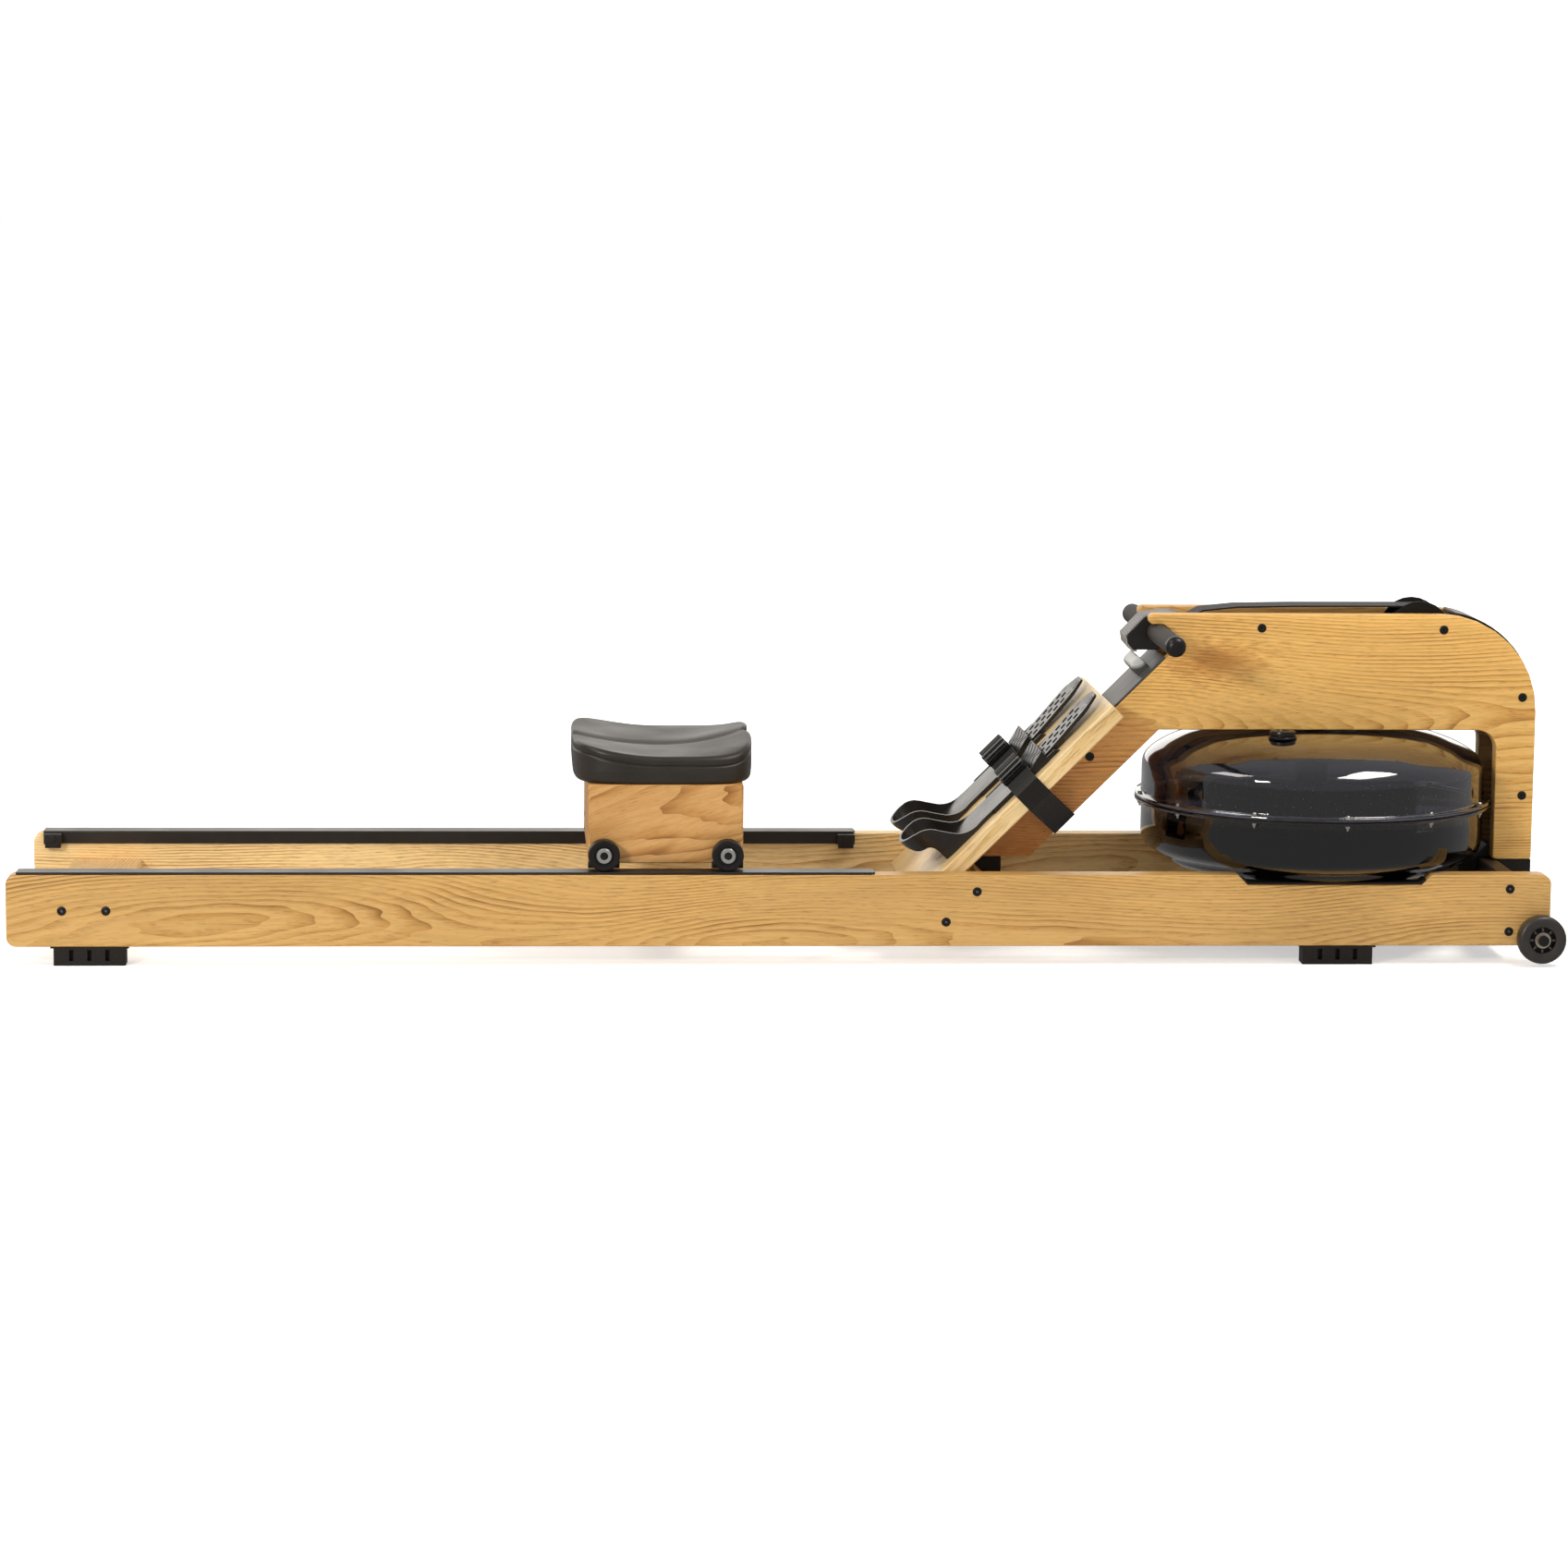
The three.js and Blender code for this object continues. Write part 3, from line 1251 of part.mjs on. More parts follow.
// Tank: two clear shells bolted at a flange, a paddle on the shaft, a filler plug
const tankWall = 4;
const flangeLip = 4.2;
const gasketThickness = 1.6;
const gasketInset = 1;
const bowlDepth = 97.5;
const beamTankGap = 2.1;
const tankBolts = 12;
const boltCircleReach = 5;
const tankBoltTurn = 0.027;
const tankBoltRadius = 2.7;
const tankBoltHeadHeight = 3;
const tankBoltSides = 6;
const shaftBore = shaftRadius + runGap;
const domeCollarRadius = 26;
const plugRearShift = 62;
const plugSideShift = 110;
const plugRadius = 18;
const plugHeight = 8;
const plugEdge = 2;
const plugStem = 11;
const bossRadius = 19.5;
const bossDrop = 1;
const bossDepth = 12;
const baffleDepth = 34;
const baffleThickness = 4;
const baffleCount = 4;
const baffleLowShare = 0.46;
const baffleHighShare = 0.06;

// Bowl outline: shares of the overhang beyond the rails and of the bowl's depth, from the flange down
const bowlRim = [[1, 0], [1, 0.477], [0.897, 0.61], [0.667, 0.692], [0.282, 0.75], [0.154, 0.821], [0, 0.866]];
const bowlRestShare = 0.866;
const bumpRoom = 2;
const bowlBump = [[1, 0.866], [0.964, 0.949], [0.904, 0.99], [0, 1]];

// Dome outline: shares of the tank radius and of the dome's height, from the flange up
const domeRim = [
  [1, 0], [1, 0.403], [0.995, 0.487], [0.983, 0.55], [0.962, 0.607], [0.937, 0.66], [0.895, 0.726],
  [0.854, 0.78], [0.795, 0.838], [0.711, 0.901], [0.586, 0.948], [0.418, 0.979], [0.251, 0.995],
];
const flangeUnder = tankRest + bowlRestShare * bowlDepth;
const seamLow = flangeUnder + flangeLip;
const seamHigh = seamLow + gasketThickness + 2 * seatGap;
const flangeTop = seamHigh + flangeLip;
const domeTop = beamBottom - beamTankGap;
const domeHeight = domeTop - flangeTop;
const bossTop = domeTop - bossDrop;

function tankFasteners(from, to) {
  const circleRadius = tankRadius + boltCircleReach;
  const pieces = [];
  for (let i = 0; i < tankBolts; i++) {
    const angle = tankBoltTurn + (i * 2 * Math.PI) / tankBolts;
    const profile = [[0, from], [tankBoltRadius, from], [tankBoltRadius, to], [0, to]];
    const piece = turnedZ(profile, tankBoltSides);
    pieces.push(piece.translate(circleRadius * Math.cos(angle), circleRadius * Math.sin(angle), 0));
  }
  return pieces;
}

function plugTurned(radius, from, to) {
  return turnedZ([[0, from], [radius, from], [radius, to], [0, to]], roundTurn)
    .translate(-plugRearShift, -plugSideShift, 0);
}

function buildDome() {
  const skin = domeRim.map(([r, h]) => new THREE.Vector2(r * tankRadius, flangeTop + h * domeHeight));
  skin.push(new THREE.Vector2(domeCollarRadius, domeTop), new THREE.Vector2(shaftBore, domeTop));
  const lining = offsetLine(skin, tankWall, false);
  const profile = [
    [tankRadius - tankWall, seamHigh], [flangeRadius, seamHigh], [flangeRadius, flangeTop],
    ...skin.map((p) => [p.x, p.y]), ...lining.slice(1).reverse().map((p) => [p.x, p.y]),
    [tankRadius - tankWall, seamHigh],
  ];
  const heads = tankFasteners(flangeTop - seatGap, flangeTop + tankBoltHeadHeight);
  const boss = plugTurned(bossRadius, bossTop - bossDepth, bossTop);
  const bore = plugTurned(plugStem + seatGap, bossTop - 2 * bossDepth, bossTop + cutOverrun);
  return cut(joined([turnedZ(profile, largeTurn), ...heads, boss]), [bore]);
}

function buildBowl() {
  const skin = bowlRim.map(([reachShare, h]) => (
    new THREE.Vector2(railOuter + reachShare * tankOverhang, flangeUnder - h * bowlDepth)
  ));
  const bumpRadius = railInner - bumpRoom;
  for (const [r, h] of bowlBump) skin.push(new THREE.Vector2(r * bumpRadius, flangeUnder - h * bowlDepth));
  const lining = offsetLine(skin, -tankWall, false);
  const profile = [
    [tankRadius - tankWall, seamLow], [flangeRadius, seamLow], [flangeRadius, flangeUnder],
    ...skin.map((p) => [p.x, p.y]), ...lining.slice(1).reverse().map((p) => [p.x, p.y]),
    [tankRadius - tankWall, seamLow],
  ];
  const nuts = tankFasteners(flangeUnder - tankBoltHeadHeight, flangeUnder + seatGap);
  const baffles = [];
  for (let i = 0; i < baffleCount; i++) {
    const baffle = box(tankRadius - baffleDepth, tankRadius - tankWall / 2, -baffleThickness / 2, baffleThickness / 2,
      flangeUnder - baffleLowShare * bowlDepth, flangeUnder - baffleHighShare * bowlDepth);
    baffles.push(baffle.rotateZ(Math.PI / 4 + (i * 2 * Math.PI) / baffleCount));
  }
  return joined([turnedZ(profile, largeTurn), ...nuts, ...baffles]);
}

function buildTank() {
  const move = (geometry) => geometry.translate(tankStation, 0, 0);
  add('tank_upper_shell', move(buildDome()), smokedPlastic);
  add('tank_lower_shell', move(buildBowl()), smokedPlastic);
  const gasket = tubeProfile(tankRadius - tankWall, flangeRadius - gasketInset,
    seamLow + seatGap, seamHigh - seatGap);
  add('tank_gasket', move(turnedZ(gasket, largeTurn)), rubber);
  const seat = bossTop + seatGap;
  const low = bossTop - bossDepth;
  const plug = turnedZ([
    [0, low], [plugStem, low], [plugStem, seat], [plugRadius, seat], [plugRadius, seat + plugHeight - plugEdge],
    [plugRadius - plugEdge, seat + plugHeight], [0, seat + plugHeight],
  ], roundTurn).translate(-plugRearShift, -plugSideShift, 0);
  add('fill_plug', move(plug), darkPlastic);
}

const paddleHub = 22;
const paddleRoot = 4;
const paddleReachShare = 0.628;
const paddleLowRise = 4;
const paddleToeRise = 18;
const paddleHighDrop = 73.5;
const paddleCorner = 20;
const paddleDiscShare = 0.364;
const paddleDiscDrop = 38.5;
const paddleDiscThickness = 5;
const paddleBlades = 6;
const bladeThickness = 4;
const shaftFootDrop = 4;
const shaftTopRoom = 12;
const shaftEdge = 2;
const bearingReach = 58;
const bearingCorner = 6;
const bearingLift = 3;
const bearingThickness = 8;
const bearingCollar = 20;
const bearingCollarRise = 7;

function buildPaddle() {
  const bore = shaftRadius + seatGap;
  const reach = paddleReachShare * tankRadius;
  const discLow = domeTop - paddleDiscDrop;
  const bladeTop = domeTop - paddleHighDrop;
  const discHigh = discLow + paddleDiscThickness;
  const hub = turnedZ([
    [bore, tankRest + paddleLowRise], [paddleHub, tankRest + paddleLowRise], [paddleHub, discLow],
    [paddleDiscShare * tankRadius, discLow], [paddleDiscShare * tankRadius, discHigh], [bore, discHigh],
    [bore, tankRest + paddleLowRise],
  ], roundTurn);
  const side = outline([
    [paddleHub - paddleRoot, tankRest + paddleLowRise, 0], [reach, tankRest + paddleToeRise, paddleCorner],
    [reach, bladeTop, paddleCorner], [paddleHub - paddleRoot, bladeTop, 0],
  ]);
  const blades = [];
  for (let i = 0; i < paddleBlades; i++) {
    const blade = acrossY(side, -bladeThickness / 2, bladeThickness / 2);
    blades.push(blade.rotateZ((i * 2 * Math.PI) / paddleBlades));
  }
  add('paddle', joined([hub, ...blades]).translate(tankStation, 0, 0), smokedPlastic);

  const shaftLow = tankRest - shaftFootDrop;
  const shaftHigh = beltLow + beltWidth / 2 + shaftTopRoom;
  const shaft = turnedZ([
    [0, shaftLow], [shaftRadius, shaftLow], [shaftRadius, shaftHigh - shaftEdge],
    [shaftRadius - shaftEdge, shaftHigh], [0, shaftHigh],
  ], roundTurn).translate(tankStation, 0, 0);
  add('drive_shaft', shaft, brightSteel);

  const half = panelInner - seatGap;
  const low = beamBottom + bearingLift;
  const plan = outline([
    [tankStation - bearingReach, -half, bearingCorner], [tankStation + bearingReach, -half, bearingCorner],
    [tankStation + bearingReach, half, bearingCorner], [tankStation - bearingReach, half, bearingCorner],
  ]);
  const flat = alongZ(plan, low, low + bearingThickness, 0, [circle(tankStation, 0, bore)]);
  const ring = tubeProfile(bore, bearingCollar, low + bearingThickness - seatGap, low + bearingThickness + bearingCollarRise);
  add('bearing_plate', joined([flat, turnedZ(ring, roundTurn).translate(tankStation, 0, 0)]), blackSteel);
}

// Seat: oak box on two axles with four rollers, moulded pad on top
const seatBlockLength = 211;
const seatBlockLap = 2;
const seatBlockHalfWidth = railInner + seatBlockLap;
const seatBlockLift = 8;
const seatBlockHeight = 107.5;
const seatBlockCorner = 4;
const seatWall = 20;
const seatTopBoard = 16;
const seatAxleSpread = 168;
const seatRollerRadius = 21.5;
const seatRollerWidth = 20;
const seatRollerOffset = (railInner + railOuter) / 2;
const seatRollerEdge = 1.5;
const seatAxleRadius = 5;
const axleCapRadius = 8.5;
const axleCapHeight = 1.5;
const seatRollerLevel = trackTop + seatRollerRadius;
const seatBlockBottom = trackTop + seatBlockLift;
const seatBlockTop = seatBlockBottom + seatBlockHeight;

function buildSeat() {
  const half = seatBlockLength / 2;
  const wide = seatBlockHalfWidth;
  const plan = outline([
    [seatStation - half, -wide, seatBlockCorner], [seatStation + half, -wide, seatBlockCorner],
    [seatStation + half, wide, seatBlockCorner], [seatStation - half, wide, seatBlockCorner],
  ], arcStep * 2);
  const block = alongZ(plan, seatBlockBottom, seatBlockTop, woodEdge);
  const inside = box(seatStation - half + seatWall, seatStation + half - seatWall,
    -wide + seatWall, wide - seatWall, seatBlockBottom - cutOverrun, seatBlockTop - seatTopBoard);
  const stations = [-1, 1].map((side) => seatStation + (side * seatAxleSpread) / 2);
  const bore = seatAxleRadius + seatGap;
  const bores = stations.map((x) => {
    const reach = wide + cutOverrun;
    const profile = [[0, -reach], [bore, -reach], [bore, reach], [0, reach]];
    return turnedY(profile, smallTurn).translate(x, 0, seatRollerLevel);
  });
  add('seat_block', cut(block, [inside, ...bores]), oak);

  const inner = seatRollerOffset - seatRollerWidth / 2;
  const outer = seatRollerOffset + seatRollerWidth / 2;
  const cap = outer + seatGap;
  const end = outer + axleCapHeight;
  stations.forEach((x, i) => {
    const axle = turnedY([
      [0, -end], [axleCapRadius, -end], [axleCapRadius, -cap], [seatAxleRadius, -cap],
      [seatAxleRadius, cap], [axleCapRadius, cap], [axleCapRadius, end], [0, end],
    ], smallTurn).translate(x, 0, seatRollerLevel);
    add(i ? 'seat_axle_front' : 'seat_axle_rear', axle, brightSteel);
    const roller = turnedY([
      [bore, -outer], [seatRollerRadius - seatRollerEdge, -outer], [seatRollerRadius, -outer + seatRollerEdge],
      [seatRollerRadius, -inner - seatRollerEdge], [seatRollerRadius - seatRollerEdge, -inner],
      [bore, -inner], [bore, -outer],
    ], roundTurn).translate(x, 0, seatRollerLevel);
    addPair(i ? 'seat_roller_front' : 'seat_roller_rear', roller, rubber);
  });
}

// Seat pad: closed rings over a rounded plan, raised behind and arched in front, with a shallow channel
const padHalfLength = 123.5;
const padLap = 1;
const padHalfWidth = seatBlockHalfWidth + padLap;
const padShift = -2.5;
const padHeight = 38;
const padRearRise = 13;
const padRearCornerRise = 9;
const padFrontRise = 20;
const padFrontCornerDrop = 14;
const padDish = 3;
const padChannelDepth = 5;
const padChannelWidth = 13;
const padEdgeRadius = 9;
const padFootHeight = 6;
const padFlankHeight = 17;
const padFootShare = 0.955;
const padFlankShare = 0.99;
const padNotchDepth = 9;
const padNotchWidth = 26;
const padSquare = 5;
const padTurn = 56;
const padRingShares = [0.16, 0.34, 0.52, 0.68, 0.82, 0.93];
const padEdgeSteps = 4;

function padPlan(turn, share) {
  const angle = (turn * 2 * Math.PI) / padTurn;
  const [c, s] = [Math.cos(angle), Math.sin(angle)];
  const reach = (Math.abs(c) ** padSquare + Math.abs(s) ** padSquare) ** (-1 / padSquare);
  const [u, v] = [c * reach * share, s * reach * share];
  const y = v * padHalfWidth;
  const notch = u > 0 ? padNotchDepth * u ** 6 * Math.exp(-((y / padNotchWidth) ** 2)) : 0;
  return { u, v, x: seatStation + padShift + u * padHalfLength - notch, y };
}

function padTop({ u, v, y }) {
  const rear = padRearRise + padRearCornerRise * v * v;
  const front = padFrontRise - padFrontCornerDrop * v * v;
  const dish = padDish * (1 - u * u) * (1 - v * v);
  const channel = padChannelDepth * Math.exp(-((y / padChannelWidth) ** 2));
  return padHeight + u * u * (u < 0 ? rear : front) - dish - channel;
}

function padRing(share, height) {
  const ring = [];
  for (let k = 0; k < padTurn; k++) {
    const place = padPlan(k, share);
    ring.push(new THREE.Vector3(place.x, place.y, seatBlockTop + seatGap + height(place)));
  }
  return ring;
}

function buildPad() {
  const rings = [
    padRing(padFootShare, () => 0), padRing(padFlankShare, () => padFootHeight), padRing(1, () => padFlankHeight),
  ];
  for (let i = 0; i <= padEdgeSteps; i++) {
    const angle = (i * Math.PI) / (2 * padEdgeSteps);
    const share = 1 - (padEdgeRadius * (1 - Math.cos(angle))) / padHalfLength;
    rings.push(padRing(share, (place) => padTop(place) - padEdgeRadius * (1 - Math.sin(angle))));
  }
  for (const share of [...padRingShares].reverse()) rings.push(padRing(share, padTop));
  add('seat_pad', loft(rings), finish(0x1d1c1b, 0.6));
}

buildRails();
buildMembers();
buildLiners();
buildTracks();
buildFeet();
buildWheels();
buildPanels();
buildSpacers();
buildLegBrackets();
buildCovers();
buildFootboard();
add('foot_plate_right', buildPlate(0, -plateOffset), darkPlastic, boardGroup);
add('foot_plate_left', buildPlate(plateStagger, plateOffset), darkPlastic, boardGroup);
add('foot_bridge_right', buildBridge(-plateOffset), darkPlastic, boardGroup);
add('foot_bridge_left', buildBridge(plateOffset), darkPlastic, boardGroup);
buildFootStrap();
buildBuckle('buckle_right', rightBuckleShares);
buildBuckle('buckle_left', leftBuckleShares);
buildHandle();
buildRollers();
buildDrum();
buildBelt();
buildCord();
buildTank();
buildPaddle();
buildSeat();
buildPad();

part.position.set(-overallLength / 2, 0, 0);
const machine = new THREE.Group();
machine.add(part);

export default machine;
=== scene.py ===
import math

import bmesh
import bpy
from mathutils import Matrix, Vector


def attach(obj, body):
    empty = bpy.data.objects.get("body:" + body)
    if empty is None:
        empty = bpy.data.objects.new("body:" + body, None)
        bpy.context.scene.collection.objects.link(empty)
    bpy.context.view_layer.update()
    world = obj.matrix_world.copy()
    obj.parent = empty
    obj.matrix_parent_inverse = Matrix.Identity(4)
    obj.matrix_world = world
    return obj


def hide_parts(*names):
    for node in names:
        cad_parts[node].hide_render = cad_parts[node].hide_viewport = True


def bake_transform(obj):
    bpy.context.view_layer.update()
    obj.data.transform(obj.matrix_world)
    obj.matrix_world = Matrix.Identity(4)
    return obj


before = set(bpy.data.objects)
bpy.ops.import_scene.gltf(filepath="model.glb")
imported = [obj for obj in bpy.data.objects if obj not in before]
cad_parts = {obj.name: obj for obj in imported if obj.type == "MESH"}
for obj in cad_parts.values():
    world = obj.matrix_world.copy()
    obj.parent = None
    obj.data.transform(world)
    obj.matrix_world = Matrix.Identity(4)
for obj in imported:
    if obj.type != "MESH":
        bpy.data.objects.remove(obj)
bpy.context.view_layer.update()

# Studio: a white sweep with two soft boxes above, a small key box at the front left and a wide box behind.
# The room behind the camera is dim, so black parts stay black in front and turn pale at a glance.
# The camera stands six metres off the machine's side, at the photograph's height and angle.
scene = bpy.context.scene
scene.view_settings.view_transform = "Standard"


def linear(hex_value):
    # a web colour as linear light
    channels = [int(hex_value[i:i + 2], 16) / 255 for i in (1, 3, 5)]
    return tuple(c / 12.92 if c <= 0.04045 else ((c + 0.055) / 1.055) ** 2.4 for c in channels) + (1.0,)


def put(tree, kind, inputs=None, **settings):
    # adds a shader node; an input is a value, a socket, or a node whose first output is meant
    node = tree.nodes.new("ShaderNode" + kind)
    for name, value in settings.items():
        setattr(node, name, value)
    for key, value in (inputs or {}).items():
        if isinstance(value, bpy.types.Node):
            value = value.outputs[0]
        if isinstance(value, bpy.types.NodeSocket):
            tree.links.new(value, node.inputs[key])
        else:
            node.inputs[key].default_value = value
    return node


world = bpy.data.worlds.new("studio")
world.use_nodes = True
scene.world = world
sky = world.node_tree
sky.nodes.clear()
sky_path = put(sky, "LightPath")
sky_camera = put(sky, "Math", {0: sky_path.outputs["Is Camera Ray"],
                               1: sky_path.outputs["Is Transmission Ray"]}, operation="MAXIMUM")
sky_room = put(sky, "MapRange", {"Value": sky_path.outputs["Is Glossy Ray"], "To Min": 0.42, "To Max": 0.3})
sky_level = put(sky, "Math", {0: sky_camera, 1: sky_room}, operation="MAXIMUM")
sky_light = put(sky, "Background", {"Color": (1, 1, 1, 1), "Strength": sky_level})
put(sky, "OutputWorld", {"Surface": sky_light})

lamp_target = Vector((0.2, 0, 0.2))
for name, place, size, power in (
    ("overhead_box", (1.9, -0.7, 3.4), (1.8, 0.9), 68),
    ("overhead_rear_box", (-2.2, -0.5, 3.4), (1.6, 1.2), 30),
    ("key_box", (-2.7, -3.6, 1.9), (0.9, 0.45), 84),
    ("back_box", (-0.2, 4.4, 1.5), (7.0, 2.4), 60),
):
    lamp_data = bpy.data.lights.new(name, "AREA")
    lamp_data.shape = "RECTANGLE"
    lamp_data.size, lamp_data.size_y = size
    lamp_data.energy = power
    lamp_data.color = (1.0, 0.95, 0.88)
    lamp = bpy.data.objects.new(name, lamp_data)
    lamp.location = place
    lamp.rotation_euler = (lamp_target - Vector(place)).to_track_quat("-Z", "Y").to_euler()
    scene.collection.objects.link(lamp)

sweep_bm = bmesh.new()
bmesh.ops.create_grid(sweep_bm, x_segments=1, y_segments=1, size=30)
sweep_mesh = bpy.data.meshes.new("floor")
sweep_bm.to_mesh(sweep_mesh)
sweep_bm.free()
sweep = bpy.data.objects.new("floor", sweep_mesh)
scene.collection.objects.link(sweep)
paper = bpy.data.materials.new("white_paper_sweep")
paper.use_nodes = True
paper_tree = paper.node_tree
paper_tree.nodes.clear()
paper_face = put(paper_tree, "BsdfDiffuse", {"Color": linear("#fbfbfa")})
paper_path = put(paper_tree, "LightPath")
paper_where = put(paper_tree, "TexCoord")
paper_reach = put(paper_tree, "VectorMath", {0: paper_where.outputs["Object"]}, operation="LENGTH")
paper_far = put(paper_tree, "MapRange", {"Value": paper_reach.outputs["Value"],
                                         "From Min": 1.0, "From Max": 4.0, "To Min": 0.5, "To Max": 0.7})
paper_lift = put(paper_tree, "Math", {0: paper_path.outputs["Is Camera Ray"],
                                      1: paper_path.outputs["Is Transmission Ray"]}, operation="MAXIMUM")
paper_gain = put(paper_tree, "Math", {0: paper_lift, 1: paper_far}, operation="MULTIPLY")
paper_glow = put(paper_tree, "Emission", {"Strength": paper_gain})
paper_sum = put(paper_tree, "AddShader", {0: paper_face, 1: paper_glow})
paper_dim = put(paper_tree, "Emission", {"Strength": 0.3})
paper_seen = put(paper_tree, "MixShader", {0: paper_path.outputs["Is Glossy Ray"],
                                           1: paper_sum, 2: paper_dim})
put(paper_tree, "OutputMaterial", {"Surface": paper_seen})
sweep_mesh.materials.append(paper)

camera_data = bpy.data.cameras.new("camera")
camera_data.lens = 103.16
camera_data.sensor_width = 36
camera_data.clip_end = 60
camera = bpy.data.objects.new("camera", camera_data)
camera_place = (-0.3843, -6.198, 1.114)
right = Vector((0.9981, -0.0602, 0.0099)).normalized()
ahead = Vector((0.0609, 0.9879, -0.1425))
ahead = (ahead - right * ahead.dot(right)).normalized()
upward = right.cross(ahead)
turn = Matrix((right, upward, -ahead)).transposed().to_4x4()
camera.matrix_world = Matrix.Translation(camera_place) @ turn
scene.collection.objects.link(camera)
scene.camera = camera


# Rails: two straight oak beams with rounded ends, planed, sanded and given a clear satin oil.
# Black socket screws sit in counterbores and hold the cross boards between the rails.
# A wave texture of this scale has one band to the millimetre.
one_mm_bands = 314


def new_material(name):
    # a material with its node tree, its shader and the piece's own coordinates
    material = bpy.data.materials.new(name)
    material.use_nodes = True
    tree = material.node_tree
    return material, tree, tree.nodes["Principled BSDF"], put(tree, "TexCoord").outputs["Object"]


def oak(name, shift, pale, mid, dark, turn=0.0, tilt=0.0, rings_mm=4.2, wander=0.17, leg=False, satin=0.44):
    # flat-sawn oak: thin brown late-wood lines in long arches, short pores, streaky fibres under satin oil
    material, tree, shader, where = new_material(name)
    grain = put(tree, "Mapping", {"Vector": where, "Location": shift, "Rotation": (0, turn, tilt)})
    slow = put(tree, "Mapping", {"Vector": grain, "Scale": (1.3, 3.4, 3.4)})
    drift = put(tree, "TexNoise", {"Vector": slow, "Scale": 1.0, "Detail": 1.0, "Roughness": 0.4})
    quick = put(tree, "Mapping", {"Vector": grain, "Scale": (11, 60, 60)})
    shiver = put(tree, "TexNoise", {"Vector": quick, "Scale": 1.0, "Detail": 1.0})
    middle_grey = (0.5, 0.5, 0.5)
    drift_off = put(tree, "VectorMath", {0: drift.outputs["Color"], 1: middle_grey}, operation="SUBTRACT")
    drift_push = put(tree, "VectorMath", {0: drift_off, 1: (0, wander, wander * 0.7)}, operation="MULTIPLY")
    shiver_off = put(tree, "VectorMath", {0: shiver.outputs["Color"], 1: middle_grey}, operation="SUBTRACT")
    shiver_push = put(tree, "VectorMath", {0: shiver_off, 1: (0, 0.0045, 0.0045)}, operation="MULTIPLY")
    drifted = put(tree, "VectorMath", {0: grain, 1: drift_push}, operation="ADD")
    bent = put(tree, "VectorMath", {0: drifted, 1: shiver_push}, operation="ADD")
    flat = put(tree, "Mapping", {"Vector": bent, "Scale": (0.015, 1, 1)})
    rings = put(tree, "TexWave", {"Vector": flat, "Scale": one_mm_bands / rings_mm,
                                  "Distortion": 0.8, "Detail": 1.0},
                wave_type="RINGS", rings_direction="X", wave_profile="SAW")
    late = put(tree, "MapRange", {"Value": rings.outputs["Fac"], "From Min": 0.38, "From Max": 1.0})
    patch_place = put(tree, "Mapping", {"Vector": bent, "Scale": (3, 34, 34)})
    patch = put(tree, "TexNoise", {"Vector": patch_place, "Scale": 1.0, "Detail": 2.0})
    patch_range = put(tree, "MapRange", {"Value": patch.outputs["Fac"], "From Min": 0.36, "From Max": 0.66,
                                         "To Min": 0.25, "To Max": 1.0})
    line = put(tree, "Math", {0: late, 1: patch_range}, operation="MULTIPLY")
    tone = put(tree, "ValToRGB", {"Fac": line})
    stops = tone.color_ramp.elements
    stops[0].position, stops[0].color = 0.0, linear(pale)
    stops[1].position, stops[1].color = 1.0, linear(dark)
    stops.new(0.5).color = linear(mid)
    thread = put(tree, "Mapping", {"Vector": bent, "Scale": (8, 340, 340)})
    fibre = put(tree, "TexNoise", {"Vector": thread, "Scale": 1.0, "Detail": 2.0})
    fibre_range = put(tree, "MapRange", {"Value": fibre.outputs["Fac"], "From Min": 0.3, "From Max": 0.7,
                                         "To Min": 0.9, "To Max": 1.07})
    lined = put(tree, "VectorMath", {0: tone.outputs["Color"], "Scale": fibre_range}, operation="SCALE")
    pore_place = put(tree, "Mapping", {"Vector": grain, "Scale": (60, 760, 760)})
    pore_noise = put(tree, "TexNoise", {"Vector": pore_place, "Scale": 1.0, "Detail": 1.0})
    pore = put(tree, "MapRange", {"Value": pore_noise.outputs["Fac"], "From Min": 0.57, "From Max": 0.67})
    pore_near = put(tree, "Math", {0: rings.outputs["Fac"], 1: 0.25}, operation="ADD")
    pore_weight = put(tree, "Math", {0: pore, 1: pore_near}, operation="MULTIPLY")
    pore_fade = put(tree, "Math", {0: pore_weight, 1: 0.4}, operation="MULTIPLY")
    pored = put(tree, "Mix", {0: pore_fade, 6: lined, 7: linear("#8f6230")}, data_type="RGBA")
    cloud_place = put(tree, "Mapping", {"Vector": grain, "Scale": (2.0, 10, 10)})
    cloud = put(tree, "TexNoise", {"Vector": cloud_place, "Scale": 1.0, "Detail": 1.0})
    cloud_range = put(tree, "MapRange", {"Value": cloud.outputs["Fac"], "From Min": 0.3, "From Max": 0.7,
                                         "To Min": 0.93, "To Max": 1.05})
    final = put(tree, "VectorMath", {0: pored.outputs[2], "Scale": cloud_range}, operation="SCALE")
    if leg:
